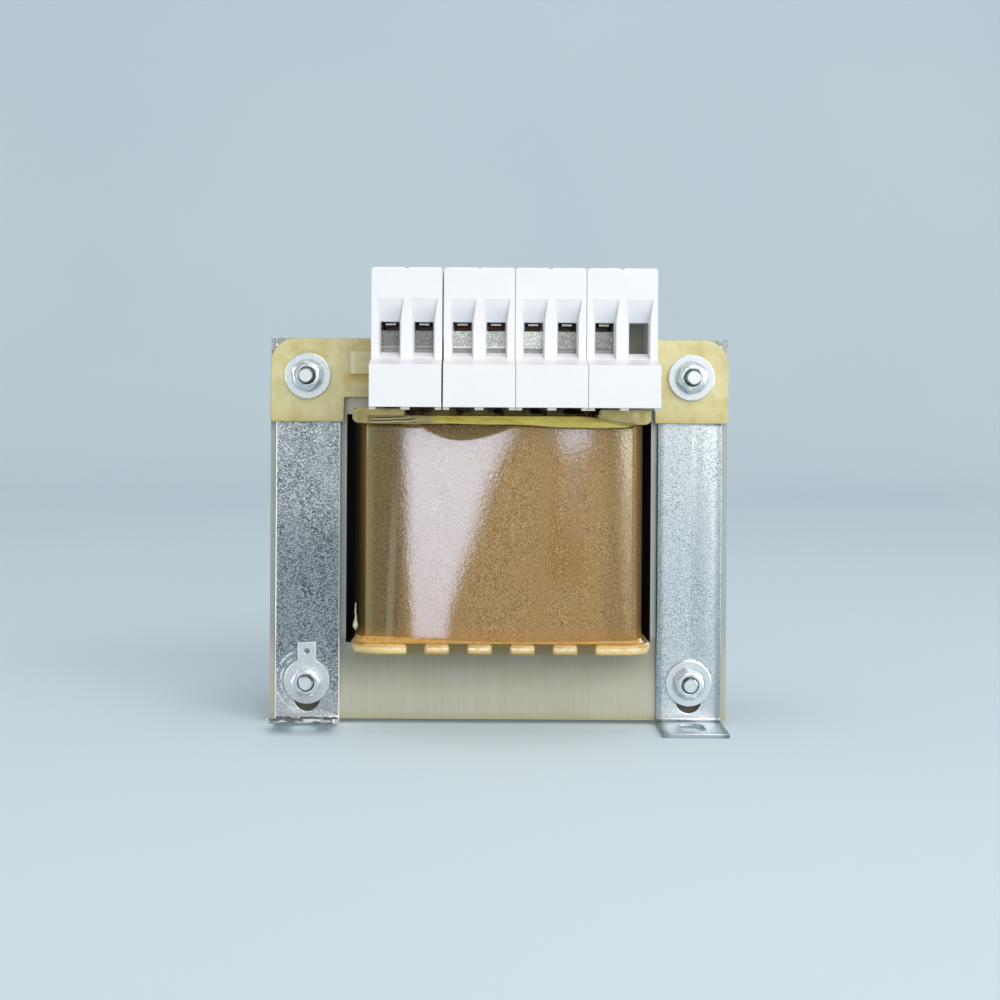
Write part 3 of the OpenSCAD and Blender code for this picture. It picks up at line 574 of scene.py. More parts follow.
def yellow_tape():
    """Glossy yellow tape: painted shade under its loose, creased left end, with painted shade and highlights along
    its folds there, a painted highlight along its lower edge, and shaded by the flange at its right end.
    """
    s = Shade("yellow_tape", Coat_Roughness=0.1)
    tone = s.noise(2.4, 4.0, 0.6, s.stretched(0.4, 1.0, 1.6))
    s.colour = s.ramp(tone, (0.28, (170, 146, 32)), (0.5, (212, 188, 64)), (0.72, (230, 208, 92)))
    # Painted highlight along the lower edge.
    hem_highlight = s.span(s.z, 0.9, 0.2, TAPE_LOW.z)
    s.paint(hem_highlight, (222, 208, 104), 0.6)
    # Painted shade under the loose, creased left end.
    bare = s.span(s.x, -14, -19)
    s.paint(bare, s.ramp(tone, (0.35, (116, 100, 50)), (0.62, (176, 158, 100))), 0.85)
    brink = s.plus(s.z, s.span(s.x, 20, 35, to=(0.0, 1.8 * MM)))
    shaded = s.times(s.span(brink, -1.1, -0.4, TAPE_HIGH.z), s.span(s.x, 18, 25))
    s.paint(shaded, (100, 84, 22), 0.7)
    slant_from, slant, waver = -28 * MM, 0.045, 0.5 * MM
    # Painted shade along the creases at the left end, with a painted highlight just below each; the coat is thinner
    # and rougher in the shade.
    crease_shade = 0.0
    for rise, half, from_x, to_x in ((1.25, 0.16, -31.5, -22.5), (1.9, 0.07, -30.5, -25.0)):
        height = s.scaled(s.minus(s.x, slant_from), -slant, s.z)
        height = s.scaled(s.noise(5.0, 1.0), waver, height)
        mid = TAPE_LOW.z + rise * MM
        dark = s.times(s.strip(height, -half, half, 0.12, mid), s.strip(s.x, from_x, to_x, 2))
        s.paint(dark, (46, 34, 14), 0.95)
        crease_shade = s.larger(crease_shade, dark)
        crease_highlight = s.times(s.strip(height, -0.5, -0.35, 0.1, mid), s.strip(s.x, from_x, to_x, 4))
        s.paint(crease_highlight, (226, 218, 180), 0.7)
    coat = 0.5
    s.set(Coat_Weight=s.scaled(crease_shade, -coat, coat), Roughness=s.between(crease_shade, 0.0, 1.0, 0.28, 0.6))
    return s.done(Normal=s.bump(tone, 0.1, 0.5))


def glass_epoxy():
    """Glass-cloth laminate: fine weave, clear resin, amber stains."""
    s = Shade("glass_epoxy", Roughness=0.36, Coat_Weight=0.35, Coat_Roughness=0.2)
    thread = 0.55 * MM
    warp = s.calc("SINE", s.times(s.x, math.tau / thread))
    weft = s.calc("SINE", s.times(s.z, math.tau / thread))
    weave = s.scaled(s.times(warp, weft), 0.5, 0.5)
    stain = s.noise(5.5, 4.0, 0.62)
    blot = s.noise(1.1, 3.0, 0.6)
    s.colour = s.ramp(stain, (0.3, (232, 222, 172)), (0.55, (214, 202, 142)), (0.75, (198, 174, 100)))
    s.paint(weave, (236, 230, 196), 0.12)
    s.paint(s.between(blot, 0.6, 0.8), (186, 148, 78), 0.3)
    low_edge = s.span(s.z, 5, 0, PLATE_LOW.z)
    s.paint(low_edge, (196, 166, 92), 0.3)
    under_rail = s.times(s.strip(s.x, -1.5, 9, 1, RAIL_LOW.x), s.strip(s.z, -1.6, -0.2, 0.8, RAIL_LOW.z))
    s.paint(under_rail, (214, 178, 84), 0.6)
    rail_h, cut_w, cut_soft = (RAIL_HIGH.z - RAIL_LOW.z) / MM, 0.25, 0.1
    # Painted highlights: two light lines along the rail's left end edges.
    for inset in (0.0, 0.75):
        end_edge_highlight = s.strip(s.x, inset, inset + cut_w, cut_soft, RAIL_LOW.x)
        s.paint(s.times(end_edge_highlight, s.strip(s.z, 0, rail_h, cut_soft, RAIL_LOW.z)), (242, 236, 206), 0.7)
    return s.done(Normal=s.bump(s.scaled(weave, 0.25, blot), 0.03, 0.5))


def terminal_plastic():
    """Near-white moulded plastic with a faint moulding grain, and painted shade in its recesses, on its upward
    faces below the fronts, in the unused pole's entry and on the feet.
    """
    s = Shade("terminal_plastic", Roughness=0.36, Subsurface_Weight=0.08, Subsurface_Scale=0.8 * MM)
    tone = s.noise(11.0, 2.0)
    grain = s.noise(0.4, 2.0)
    s.colour = s.ramp(tone, (0.3, (246, 246, 250)), (0.7, (250, 250, 252)))
    fronts = s.between(s.facing_y, -0.1, -0.2)
    # Painted shade on front faces sunk behind the upper front, such as the ramps above the entries.
    sunk = s.times(fronts, s.span(s.y, 0.3, 2, UPPER_FRONT))
    s.paint(sunk, (222, 226, 234), 0.8)
    # Painted shade on the ledge below the fronts, which faces up.
    ledge_shade = s.times(fronts, s.between(s.facing_z, 0.2, 0.4), s.between(s.y, UPPER_FRONT, BLOCK_LOW.y))
    s.paint(ledge_shade, (228, 228, 240), 0.7)
    spare_x, spare_half, sharp = 34.88 * MM, 2.45, 0.05
    entry_face, entry_low, entry_top = UPPER_FRONT + 2.5 * MM, 96.9, 104.85
    # Painted shade: the spare pole's entry is grey from its face inwards.
    spare_entry_shade = s.times(
        s.strip(s.x, -spare_half, spare_half, sharp, spare_x),
        s.span(s.y, 0, 0.3, entry_face),
        s.strip(s.z, entry_low, entry_top, sharp),
    )
    s.paint(spare_entry_shade, (174, 177, 162))
    # Painted shade on the nubs at the blocks' feet, under the blocks.
    foot = s.span(s.z, 0.6, 0.5, BLOCK_LOW.z)
    s.paint(foot, (206, 208, 190), 0.85)
    return s.done(Normal=s.bump(grain, 0.012, 0.4, s.soft_edges(0.3)))


def per_clamp(s, values):
    """A value for each clamp, from left to right."""
    total = 0.0
    for number, value in zip(POLES_IN_USE, values):
        low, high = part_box(f"clamp_cage_{number}")
        total = s.scaled(s.strip(s.x, low.x / MM, high.x / MM, 0.5), value, total)
    return total


def clamp_steel():
    """Plated clamp sheet with a dull grain, painted shade on the plate low in the entry and within the cage, and a
    painted highlight along the fold.
    """
    s = Shade("clamp_steel", Metallic=0.8)
    crystal = s.cells(0.2)
    fine = s.noise(0.24, 3.0, 0.6)
    grain = s.scaled(crystal, 0.4, s.times(fine, 0.6))
    s.colour = s.ramp(grain, (0.3, (134, 138, 134)), (0.65, (232, 234, 230)))
    s.tint(1.0, s.grey(per_clamp(s, CLAMP_TONES)))
    fold = CAGE_LOW.z + 1.3 * MM
    # Painted shade on the plate low in the entry, below the fold.
    low = s.span(s.z, 0, -0.1, fold)
    s.paint(low, (168, 168, 164), 0.9)
    # Painted highlight line along the fold, brighter on some clamps than others.
    highlight_line = s.times(s.strip(s.z, 0.05, 0.35, 0.1, fold), per_clamp(s, CLAMP_HIGHLIGHTS))
    s.paint(highlight_line, (252, 252, 250))
    skirt_top, roof = 102.7 * MM, 104.9 * MM
    # Painted shade inside the cage, between the skirt's top and the roof.
    inside_shade = s.times(s.span(s.z, 0, 0.2, skirt_top), s.span(s.z, 0.1, 0, roof))
    s.paint(inside_shade, (40, 34, 28), 0.85)
    return s.done(Roughness=s.between(grain, 0.2, 0.8, 0.5, 0.34), Normal=s.bump(grain, 0.03, 0.5))


def contact_brass():
    """Tinned brass with painted shade deeper in the entry."""
    s = Shade("contact_brass", Metallic=0.9)
    grain = s.noise(0.4, 3.0, 0.6)
    s.colour = s.ramp(grain, (0.3, (186, 178, 158)), (0.7, (232, 228, 216)))
    # Painted shade deeper in the entry.
    deep_shade = s.span(s.y, 0.9, 1.4, CAGE_LOW.y)
    s.paint(deep_shade, (46, 42, 34), 0.9)
    return s.done(Roughness=s.between(grain, 0.3, 0.7, 0.42, 0.3), Normal=s.bump(grain, 0.02, 0.4))


def enamelled_copper():
    """Enamelled wire: turn by turn along the coil."""
    s = Shade("enamelled_copper", Metallic=0.85, Coat_Weight=0.6, Coat_Roughness=0.1)
    wire = 0.9 * MM
    turn = s.calc("SINE", s.times(s.z, math.tau / wire))
    tone = s.noise(2.0, 3.0)
    s.colour = s.ramp(tone, (0.3, (74, 44, 24)), (0.7, (118, 72, 38)))
    return s.done(Roughness=s.between(tone, 0.3, 0.7, 0.35, 0.25), Normal=s.bump(turn, 0.12, 0.7))


# Mesh pieces

def link_mesh(name, bm, material):
    """Turns a bmesh into an object of the scene."""
    mesh = bpy.data.meshes.new(name)
    bm.to_mesh(mesh)
    bm.free()
    mesh.materials.append(material)
    made = bpy.data.objects.new(name, mesh)
    bpy.context.scene.collection.objects.link(made)
    return made


def add_piece(name, bm, material, smooth=True):
    """Turns a bmesh into a piece that rides on the part. With smooth None, its faces keep their shading."""
    bmesh.ops.recalc_face_normals(bm, faces=bm.faces)
    if smooth is not None:
        for face in bm.faces:
            face.smooth = smooth
    piece = link_mesh(name, bm, material)
    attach(piece, "root")
    return piece


def finish_of(node):
    return NODES[node].data.materials[0]


def half_noise(*at):
    """Smooth noise around 0.5."""
    return noise.noise(Vector(at)) * 0.5 + 0.5


def circle(count):
    """Unit vectors round a circle."""
    return [(math.cos(math.tau * k / count), math.sin(math.tau * k / count)) for k in range(count)]


def skin(bm, rows, closed=False):
    """Joins rows of points with quads. A closed skin joins the last column to the first."""
    made = [[bm.verts.new(p) for p in row] for row in rows]
    count = len(made[0])
    for near, far in zip(made, made[1:]):
        for k in range(count if closed else count - 1):
            nxt = (k + 1) % count
            bm.faces.new((near[k], near[nxt], far[nxt], far[k]))
    return made


def rounded_copy(node, radius_mm, segments=3):
    """A copy of a CAD node with its long sharp edges rounded off, which stands for the node."""
    radius = radius_mm * MM
    room = 2.2 * radius
    merge_within = 1e-6
    sharp_from, curved_from = math.radians(35), math.radians(0.5)
    bm = bmesh.new()
    bm.from_mesh(NODES[node].data)
    bmesh.ops.remove_doubles(bm, verts=bm.verts, dist=merge_within)
    bmesh.ops.dissolve_limit(bm, angle_limit=curved_from, verts=bm.verts, edges=bm.edges)

    def sharp(edge):
        return len(edge.link_faces) == 2 and edge.calc_face_angle() > sharp_from

    def goes_on(edge, vert):
        """Whether a sharp edge runs on through a vertex without a corner."""
        ahead = [e for e in vert.link_edges if e is not edge and sharp(e)]
        if len(ahead) != 1:
            return False
        a = (vert.co - edge.other_vert(vert).co).normalized()
        b = (ahead[0].other_vert(vert).co - vert.co).normalized()
        return a.dot(b) > math.cos(sharp_from)

    def roomy(edge):
        length = edge.calc_length()
        if length < room and not all(goes_on(edge, v) for v in edge.verts):
            return False
        return all(face.calc_area() / length > room for face in edge.link_faces)

    picked = [e for e in bm.edges if sharp(e) and roomy(e)]
    for face in bm.faces:
        face.smooth = any(
            len(e.link_faces) == 2 and curved_from < e.calc_face_angle() <= sharp_from for e in face.edges
        )
    made = bmesh.ops.bevel(
        bm, geom=picked, offset=radius, offset_type="OFFSET", segments=segments, profile=0.5, affect="EDGES"
    )
    for face in made["faces"]:
        face.smooth = True
    piece = add_piece(f"rounded_{node}", bm, finish_of(node), smooth=None)
    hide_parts(node)


def coil_edge(x):
    """How far the coil's front is from its middle, at an x from there: a bulge that ends in round corners."""
    bulge = COIL_HALF_Y - (BULGE_R - math.sqrt(BULGE_R ** 2 - x ** 2))
    past = abs(x) - (COIL_HALF_X - COIL_CORNER)
    if past <= 0:
        return bulge
    arc = COIL_HALF_Y - COIL_CORNER + math.sqrt(max(0.0, COIL_CORNER ** 2 - past ** 2))
    return min(bulge, arc)


def coil_plan():
    """Points round the coil seen from above, counter-clockwise from the right side."""
    front_step, side_step, corner_steps = 0.5 * MM, 3 * MM, 24
    side_y = COIL_HALF_Y - COIL_CORNER
    corner_x = COIL_HALF_X - COIL_CORNER
    turns = [math.radians(90 * k / corner_steps) for k in range(corner_steps)]
    xs = [corner_x + COIL_CORNER * math.cos(a) for a in turns]
    flat = int(corner_x / front_step)
    xs += [corner_x * (1 - k / flat) for k in range(flat)]
    half = [(x, coil_edge(x)) for x in xs] + [(0.0, COIL_HALF_Y)]
    upper = half + [(-x, y) for x, y in reversed(half[:-1])]
    short = int(2 * side_y / side_step)
    upper += [(-COIL_HALF_X, side_y * (1 - 2 * k / short)) for k in range(1, short)]
    lower = [(-x, -y) for x, y in upper]
    return [Vector((COIL_MID.x + x, COIL_MID.y + y)) for x, y in upper + lower]


def plan_normals(plan):
    """Outward normals along a closed plan that runs counter-clockwise."""
    count = len(plan)
    normals = []
    for k in range(count):
        along = plan[(k + 1) % count] - plan[k - 1]
        normals.append(Vector((along.y, -along.x)).normalized())
    return normals


def rim_height(p):
    """How far below its upper end the wrap starts to turn in: an arc on the front, a short rim elsewhere."""
    if p.y > COIL_MID.y:
        return RIM_SHORT
    across = max((RIM_MID - p.x) / RIM_REACH_LEFT, (p.x - RIM_MID) / RIM_REACH_RIGHT)
    return max(RIM_SHORT, RIM_TALL * (1 - across ** RIM_POWER))


def wrapped_coil():
    """The paper and film over the winding: tight over the corners, turned in at the upper end."""
    plan = coil_plan()
    normals = plan_normals(plan)
    low, high = FILM_LOW.z, FILM_HIGH.z
    row_count, wall = 150, 0.35 * MM
    rim_dip, foot_dip, foot_h = 0.55 * MM, 0.2 * MM, 0.8 * MM
    wave_depth, wave_x, wave_z = 0.02 * MM, 14 * MM, 30 * MM
    rows = []
    for r in range(row_count + 1):
        z = low + (high - low) * r / row_count
        row = []
        for p, n in zip(plan, normals):
            turned_in = smoothstep(0.8, 0.95, abs(n.y))
            top_tuck = turned_in * rim_dip * (1 - smoothstep(0, rim_height(p), high - z))
            low_tuck = foot_dip * (1 - smoothstep(0, foot_h, z - low))
            wave = noise.noise(Vector((p.x / wave_x, p.y / wave_x, z / wave_z)))
            inward = top_tuck + low_tuck - wave * wave_depth
            row.append((p.x - n.x * inward, p.y - n.y * inward, z))
        rows.append(row)
    bm = bmesh.new()
    made = skin(bm, rows, closed=True)
    for ring, z in ((made[0], low), (made[-1], high)):
        inner = [bm.verts.new((v.co.x - n.x * wall, v.co.y - n.y * wall, z)) for v, n in zip(ring, normals)]
        for k in range(len(ring)):
            nxt = (k + 1) % len(ring)
            bm.faces.new((ring[k], ring[nxt], inner[nxt], inner[k]))
    piece = add_piece("wrapped_coil", bm, finish_of("film_wrap"))
    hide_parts("paper_wrap", "film_wrap")


def varnish_bead():
    """A bead of amber varnish where the wrap stands on the lower flange, thicker to the left and at the right."""
    plan = coil_plan()
    floor = FILM_LOW.z - 0.03 * MM
    sunk, swell_size, ripple_size, hollow = 0.15 * MM, 7 * MM, 2 * MM, 0.9
    steps = 6
    rows = [[] for _ in range(steps + 1)]
    for p, n in zip(plan, plan_normals(plan)):
        swell = half_noise(*Vector((p.x, p.y, 0.3)) / swell_size)
        ripple = half_noise(*Vector((p.x, p.y, 0.9)) / ripple_size)
        left = 1 - smoothstep(-30 * MM, 0, p.x)
        right = smoothstep(12 * MM, 30 * MM, p.x) + 1.5 * smoothstep(32 * MM, 36 * MM, p.x)
        tall = (0.35 + 0.3 * swell + 0.2 * ripple + 2.0 * left + 0.5 * right) * MM
        wide = (0.5 + 0.25 * swell + 0.15 * ripple + 0.6 * left + 0.2 * right) * MM
        for r in range(steps + 1):
            a = math.radians(90 * r / steps)
            out = wide * (1 - math.sin(a)) ** hollow - sunk
            up = tall * (1 - math.cos(a))
            rows[r].append((p.x + n.x * out, p.y + n.y * out, floor + up))
    bm = bmesh.new()
    skin(bm, rows, closed=True)
    add_piece("varnish_bead", bm, amber_varnish())


def resin_run():
    """A run of resin that set in the left window, beside the coil's front corner: a thread with a drop below."""
    top, bottom = 33.2 * MM, 26.2 * MM
    x0, y0 = FILM_LOW.x + 0.1 * MM, COIL_MID.y - COIL_HALF_Y + 3.6 * MM
    around, steps = 12, 26
    rows = []
    for r in range(steps + 1):
        t = r / steps
        drop = 0.4 * smoothstep(0.5, 0.85, t)
        closing = 1 - smoothstep(0.85, 1.0, t) * 0.8
        radius = (0.12 + 0.3 * t + drop) * MM * closing
        wobble = noise.noise(Vector((t * 4.0, 0.2, 0.7))) * 0.15 * MM
        z = top + (bottom - top) * t
        rows.append([(x0 + wobble + radius * u, y0 + radius * v, z) for u, v in circle(around)])
    bm = bmesh.new()
    made = skin(bm, rows, closed=True)
    bm.faces.new(made[0])
    bm.faces.new(made[-1])
    add_piece("resin_run", bm, milky_resin())


def crinkled_tape():
    """Yellow tape pressed along the upper flange's edge and a little round its corners, with soft buckles.

    Its left end is loose and crumpled, and its right end sags below the flange and narrows.
    """
    low, high = TAPE_LOW, TAPE_HIGH
    round_corner, corner_r, sag, narrowing = 3.6 * MM, 8 * MM, 0.75 * MM, 1.8 * MM
    buckle_size, crumple_size, wave_size, wave_depth = 6 * MM, 5 * MM, 9 * MM, 0.3 * MM
    columns, rows_up, merge_within = 260, 12, 1e-7
    relief = 0.6 * (high.y - low.y)
    rows, back = [], []
    for r in range(rows_up + 1):
        v = r / rows_up
        round_over = (2 * v - 1) ** 4
        row, behind = [], []
        for c in range(columns + 1):
            x = low.x - round_corner + (high.x - low.x + 2 * round_corner) * c / columns
            past = max(0.0, x - high.x, low.x - x)
            recess = corner_r - math.sqrt(corner_r ** 2 - past ** 2)
            loose = smoothstep(-16 * MM, -24 * MM, x)
            buckle = half_noise(x / buckle_size, v * 1.5, 0.7)
            crumple = half_noise(x / crumple_size, v * 5.0, 2.3)
            fold = buckle * (1 - loose) + crumple * loose
            y = low.y + relief * (fold * (1 - round_over) + round_over) + recess
            edge_wave = noise.noise(Vector((x / wave_size, 3.1, v))) * wave_depth
            foot = low.z - sag * (smoothstep(0, 22 * MM, x) - smoothstep(31 * MM, 34.5 * MM, x))
            head = high.z - narrowing * smoothstep(20 * MM, 35 * MM, x)
            z = foot + (head - foot) * v + edge_wave * (1 - v)
            row.append((x, y, z))
            behind.append((x, high.y + recess, z))
        rows.append(row)
        back.append(behind)
    bm = bmesh.new()
    skin(bm, rows)
    skin(bm, [rows[0], back[0]])
    skin(bm, [rows[-1], back[-1]])
    bmesh.ops.remove_doubles(bm, verts=bm.verts, dist=merge_within)
    piece = add_piece("flange_tape", bm, finish_of("edge_tape"))
    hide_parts("edge_tape")


def thread_radius(turns, major, minor):
    """A sharp thread's radius at a position counted in turns."""
    return minor + (major - minor) * abs(2 * (turns % 1.0) - 1)


def threaded_bolts():
    """The four core bolts, with a cut thread at the nut's end and a chamfered hexagon head."""
    shank_r, pitch, depth = 2.0 * MM, 0.7 * MM, 0.36 * MM
    head_h, flats, threaded, run_out = 2.8 * MM, 7.0 * MM, 11 * MM, 0.3 * MM
    strap_t, tag_t, washer_t, nut_h, past_nut = 1.2 * MM, 0.8 * MM, 1.0 * MM, 3.2 * MM, 0.9 * MM
    around, per_turn = 28, 12
    root_r, lead_in = shank_r - depth, 0.8 * pitch
    seat = BOLTS_HIGH.y - head_h
    corner = flats / 2 / math.cos(math.radians(30))
    left, right = BOLTS_LOW.x + corner, BOLTS_HIGH.x - corner
    lower, upper = BOLTS_LOW.z + flats / 2, BOLTS_HIGH.z - flats / 2
    tips = {
        (left, upper): BOLTS_LOW.y,
        (right, upper): BOLTS_LOW.y,
        (left, lower): CORE_LOW.y - (strap_t + tag_t + nut_h + past_nut),
        (right, lower): CORE_LOW.y - (strap_t + washer_t + nut_h + past_nut),
    }
    bm = bmesh.new()
    steps = int(threaded / pitch * per_turn)
    for (cx, cz), tip in tips.items():
        rows = []
        for r in range(steps + 1):
            t = threaded * r / steps
            largest = root_r + depth * min(1.0, t / lead_in)
            row = []
            for k, (u, v) in enumerate(circle(around)):
                radius = min(thread_radius(t / pitch - k / around, shank_r, root_r), largest)
                row.append((cx + radius * u, tip + t, cz + radius * v))
            rows.append(row)
        for y in (tip + threaded + run_out, seat):
            rows.append([(cx + shank_r * u, y, cz + shank_r * v) for u, v in circle(around)])
        made = skin(bm, rows, closed=True)
        bm.faces.new(made[0])
        hexagon_head(bm, cx, cz, seat, head_h, flats)
    piece = add_piece("threaded_bolts", bm, finish_of("core_bolts"), smooth=False)
    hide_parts("core_bolts")


def hexagon_head(bm, cx, cz, seat, height, flats):
    """A hexagon with its end corners turned off."""
    flat_r = flats / 2
    corner_r = flat_r / math.cos(math.radians(30))
    chamfer, end_share, around = 0.5 * MM, 0.94, 48
    rows = []
    for y, cap in ((seat, corner_r), (seat + height - chamfer, corner_r), (seat + height, flat_r * end_share)):
        row = []
        for k, (u, v) in enumerate(circle(around)):
            in_sector = math.tau * k / around % math.radians(60) - math.radians(30)
            radius = min(cap, flat_r / math.cos(in_sector))
            row.append((cx + radius * u, y, cz + radius * v))
        rows.append(row)
    made = skin(bm, rows, closed=True)
    bm.faces.new(made[0])
    bm.faces.new(made[-1])


# Stage

def stage_mesh(name, rows, material):
    """A mesh that belongs to the stage, not to the part."""
    bm = bmesh.new()
    skin(bm, rows)
    for face in bm.faces:
        face.smooth = True
    made = link_mesh(name, bm, material)
    return made


def backdrop():
    """A pale floor that sweeps up behind the part."""
    profile = [(-FLOOR_REACH, 0.0), (SWEEP_START, 0.0)]
    for k in range(1, SWEEP_STEPS + 1):
        a = math.radians(90 * k / SWEEP_STEPS)
        profile.append((SWEEP_START + SWEEP_RADIUS * math.sin(a), SWEEP_RADIUS * (1 - math.cos(a))))
    profile.append((SWEEP_START + SWEEP_RADIUS, SWEEP_TOP))
    s = Shade("pale_floor", Roughness=0.7, Specular_IOR_Level=0.0)
    s.colour = s.ramp(s.noise(400.0, 2.0), (0.3, (201, 217, 226)), (0.7, (206, 221, 229)))
    light_path = s.node("ShaderNodeLightPath").outputs
    seen = s.larger(light_path["Is Camera Ray"], light_path["Is Glossy Ray"])
    seen = s.larger(seen, light_path["Is Transmission Ray"])
    lift = s.between(s.y, 0.2, SWEEP_START, 0.19, 0.24)
    floor = s.done(Emission_Color=s.colour, Emission_Strength=s.times(seen, lift))
    stage_mesh("sweep", [[(x, y, z) for x in (-FLOOR_REACH, FLOOR_REACH)] for y, z in profile], floor)


def mirrored(x, z, floor_z, wall_y):
    """Where the film at x and z on the coil's front mirrors the camera's view: on the floor or on a wall ahead."""
    at = Vector((x, COIL_MID.y - coil_edge(x - COIL_MID.x), z))
    view = at - CAMERA_AT * MM
    lean = (x - COIL_MID.x) / BULGE_R
    outward = Vector((math.sin(lean), -math.cos(lean), 0.0))
    ray = view - 2 * view.dot(outward) * outward
    to_wall = (wall_y - at.y) / ray.y
    to_floor = (floor_z - at.z) / ray.z if ray.z < 0 else math.inf
    return at + ray * min(to_wall, to_floor)


def lit_card(name, colour, radiance, rows, receivers):
    """A black card that gives off light, unseen by the camera, to a collection alone.

    Its radiance is a number, or a list with one for each of its points.
    """
    s = Shade(name, Roughness=1.0, Base_Color=(0, 0, 0), Emission_Color=colour)
    card = stage_mesh(name, rows, s.mat)
    if isinstance(radiance, list):
        card.data.attributes.new("glow", "FLOAT", "POINT").data.foreach_set("value", radiance)
        radiance = s.node("ShaderNodeAttribute", attribute_name="glow").outputs["Fac"]
    s.set(Emission_Strength=radiance)
    card.visible_camera = False
    card.visible_diffuse = False
    card.visible_shadow = False
    card.light_linking.receiver_collection = receivers


def mirror_card(name, colour, soft_left, soft_right, outline, film):
    """A lit card whose mirror image on the film has the given outline.

    The rows of the outline are z, left x and right x in mm, and radiance. The light fades over a share of the
    width at each side.
    """
    floor_z, wall_y = 1.0 * MM, -0.7
    across, between_rows = 24, 10
    rows = []
    for here, there in zip(outline, outline[1:]):
        for k in range(between_rows):
            rows.append([a + (b - a) * k / between_rows for a, b in zip(here, there)])
    rows.append(outline[-1])
    points, glow = [], []
    for z, left, right, radiance in rows:
        row = []
        for c in range(across + 1):
            share = c / across
            row.append(mirrored((left + (right - left) * share) * MM, z * MM, floor_z, wall_y))
            edge = smoothstep(0, soft_left, share) * smoothstep(0, soft_right, 1 - share)
            glow.append(radiance * edge)
        points.append(row)
    lit_card(name, colour, glow, points, film)


def film_cards(film):
    """The window light, a small pane and a strip that the film shows as highlights."""
    cool, yellowish = (0.64, 0.75, 1.0, 1.0), (1.0, 1.0, 0.82, 1.0)
    mirror_card("card_window", cool, 0.05, 0.22, (
        (79.0, -24.8, 8.6, 11.0), (75.0, -24.7, 5.4, 11.5), (69.9, -24.5, 2.4, 12.0), (62.3, -24.2, -1.0, 12.0),
        (52.2, -23.6, -4.2, 11.5), (43.3, -23.1, -7.8, 11.0), (31.9, -22.2, -11.4, 10.0), (24.3, -21.7, -12.4, 9.5),
    ), film)
    mirror_card("card_pane", cool, 0.3, 0.04, (
        (78.8, 12.6, 23.4, 10.0), (74.5, 13.8, 23.0, 9.0), (71.5, 14.4, 22.8, 2.2), (40.0, 12.0, 21.0, 0.0),
    ), film)
    mirror_card("card_strip", yellowish, 0.5, 0.06, (
        (79.0, 29.6, 33.9, 12.0), (60.0, 29.8, 33.9, 6.0), (40.0, 30.4, 33.9, 3.0), (26.0, 31.0, 33.9, 2.0),
    ), film)


def edge_cards(plated):
    """A tall lit card at each side, which the rounded edges of the plated parts show as bright lines."""
    aside, reach_y, reach_z = 0.35, (-0.13, 0.06), (0.002, 0.3)
    for side, x in (("left", -aside), ("right", aside)):
        rows = [[(x, y, z) for y in reach_y] for z in reach_z]
        lit_card(f"card_{side}", (1.0, 1.0, 1.0, 1.0), 5.0, rows, plated)


def tab_card(varnished):
    """A lit strip on the floor that the varnished tabs of the lower flange mirror."""
    height, reach_x, reach_y = 0.001, (-0.06, 0.07), (-0.2, -0.175)
    rows = [[(x, y, height) for x in reach_x] for y in reach_y]
    lit_card("card_tabs", (1.0, 0.98, 0.92, 1.0), 6.0, rows, varnished)


def group(name, *pieces):
    """A collection of pieces that a card lights."""
    made = bpy.data.collections.new(name)
    for piece in pieces:
        made.objects.link(bpy.data.objects[piece])
    return made


def area_light(name, at, target, size, radiance, colour):
    """A rectangular soft light of the given radiance, unseen by the camera."""
    data = bpy.data.lights.new(name, "AREA")
    data.shape = "RECTANGLE"
    data.size, data.size_y = size
    data.energy = radiance * math.pi * size[0] * size[1]
    data.color = colour
    lamp = bpy.data.objects.new(name, data)
    lamp.location = at
    lamp.rotation_euler = (Vector(target) - Vector(at)).to_track_quat("-Z", "Y").to_euler()
    lamp.visible_camera = False
    bpy.context.scene.collection.objects.link(lamp)


def studio():
    """A broad soft light from the front right, weaker ones ahead, to the right and above, and a pale surround."""
    aim = (0.0, 0.0, 0.06)
    warm = (1.0, 0.985, 0.95)
    area_light("front", (0.6, -1.35, 0.9), aim, (1.1, 1.0), 3.15, warm)
    area_light("fill", (0.1, -2.2, 0.4), aim, (2.4, 0.8), 0.75, warm)
    area_light("key_right", (0.95, -0.7, 0.45), aim, (0.6, 0.9), 1.8, warm)
    area_light("top", (0.0, -0.1, 1.2), aim, (0.8, 0.6), 1.2, warm)
    world = bpy.data.worlds.new("surround")
    bpy.context.scene.world = world
    world.use_nodes = True
    background = world.node_tree.nodes["Background"]
    background.inputs["Color"].default_value = (0.98, 0.99, 1.0, 1.0)
    background.inputs["Strength"].default_value = 0.45


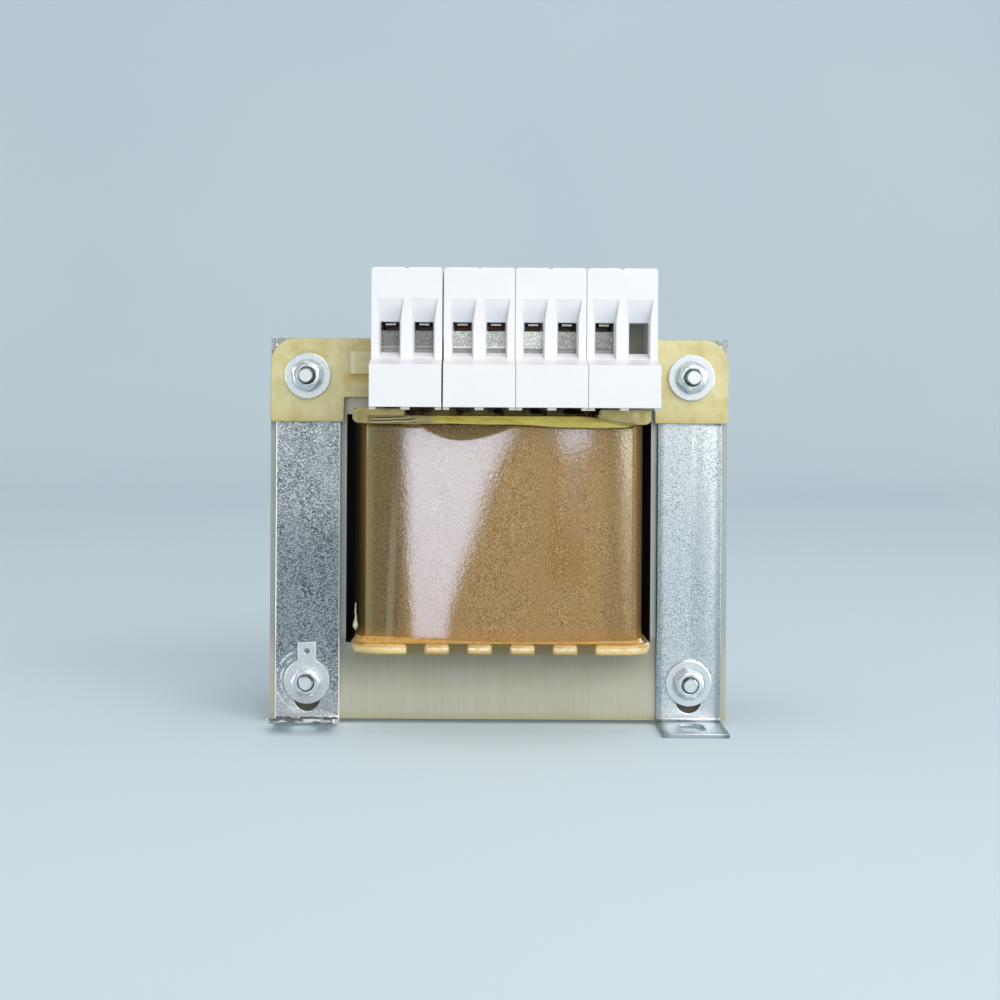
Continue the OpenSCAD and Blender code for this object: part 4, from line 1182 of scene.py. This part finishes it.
def camera():
    data = bpy.data.cameras.new("camera")
    data.sensor_fit = "HORIZONTAL"
    data.sensor_width = SENSOR_MM
    data.lens = FOCAL_PX * SENSOR_MM / IMAGE_PX
    data.shift_x = (IMAGE_PX / 2 - PRINCIPAL_PX[0]) / IMAGE_PX
    data.shift_y = (PRINCIPAL_PX[1] - IMAGE_PX / 2) / IMAGE_PX
    data.clip_start = 0.01
    made = bpy.data.objects.new("camera", data)
    made.location = CAMERA_AT * MM
    made.rotation_euler = (math.radians(90), math.radians(-ROLL_DEG), 0)
    bpy.context.scene.collection.objects.link(made)
    bpy.context.scene.camera = made


def dress_nodes():
    """Every CAD node gets its finish."""
    dress(core_steel(), "e_laminations", "i_laminations")
    dress(bobbin_nylon(), "bobbin")
    dress(enamelled_copper(), "winding", *[f"tap_lead_{i}" for i in POLES_IN_USE])
    # The left strap's zinc is a shaded copy with darker colours, the other straps' zinc a lit copy with lighter
    # ones.
    dress(zinc_sheet("zinc_left", (42, 50, 54), (176, 187, 193), 0.25, scuffed_and_highlit=True), "front_left_bracket")
    right_zinc = zinc_sheet("zinc_right", (140, 152, 158), (222, 231, 236), 0.45)
    dress(right_zinc, *[f"{corner}_bracket" for corner in CORNERS[1:]])
    dress(zinc_fixing(), "core_bolts", *PRESSED)
    dress(tinned_brass(), "earth_tag")
    dress(glass_epoxy(), "terminal_plate", "terminal_rail")
    dress(terminal_plastic(), *[f"terminal_block_{i}" for i in range(1, 5)])
    dress(clamp_steel(), "clamp_screws", *[f"clamp_cage_{i}" for i in POLES_IN_USE])
    dress(contact_brass(), *[f"contact_bar_{i}" for i in POLES_IN_USE])
    dress(kraft_under_film(), "paper_wrap", "film_wrap")
    dress(yellow_tape(), "edge_tape")


def rounded_nodes():
    """The parts whose worn or moulded edges show."""
    rounded_copy("bobbin", 0.8, segments=4)
    for corner in CORNERS:
        rounded_copy(f"{corner}_bracket", 0.3)
    for node in PRESSED:
        rounded_copy(node, 0.2)
    rounded_copy("earth_tag", 0.2)
    for node in ("terminal_plate", "terminal_rail"):
        rounded_copy(node, 0.3)


camera()
backdrop()
studio()
dress_nodes()
rounded_nodes()
wrapped_coil()
film_cards(group("film_alone", "wrapped_coil"))
varnish_bead()
resin_run()
crinkled_tape()
threaded_bolts()
straps = [f"rounded_{corner}_bracket" for corner in CORNERS]
pressed = [f"rounded_{node}" for node in PRESSED]
edge_cards(group("plated_alone", *straps, *pressed, "rounded_earth_tag", "threaded_bolts"))
tab_card(group("varnish_alone", "rounded_bobbin", "varnish_bead"))
bpy.context.scene.view_settings.view_transform = "Standard"
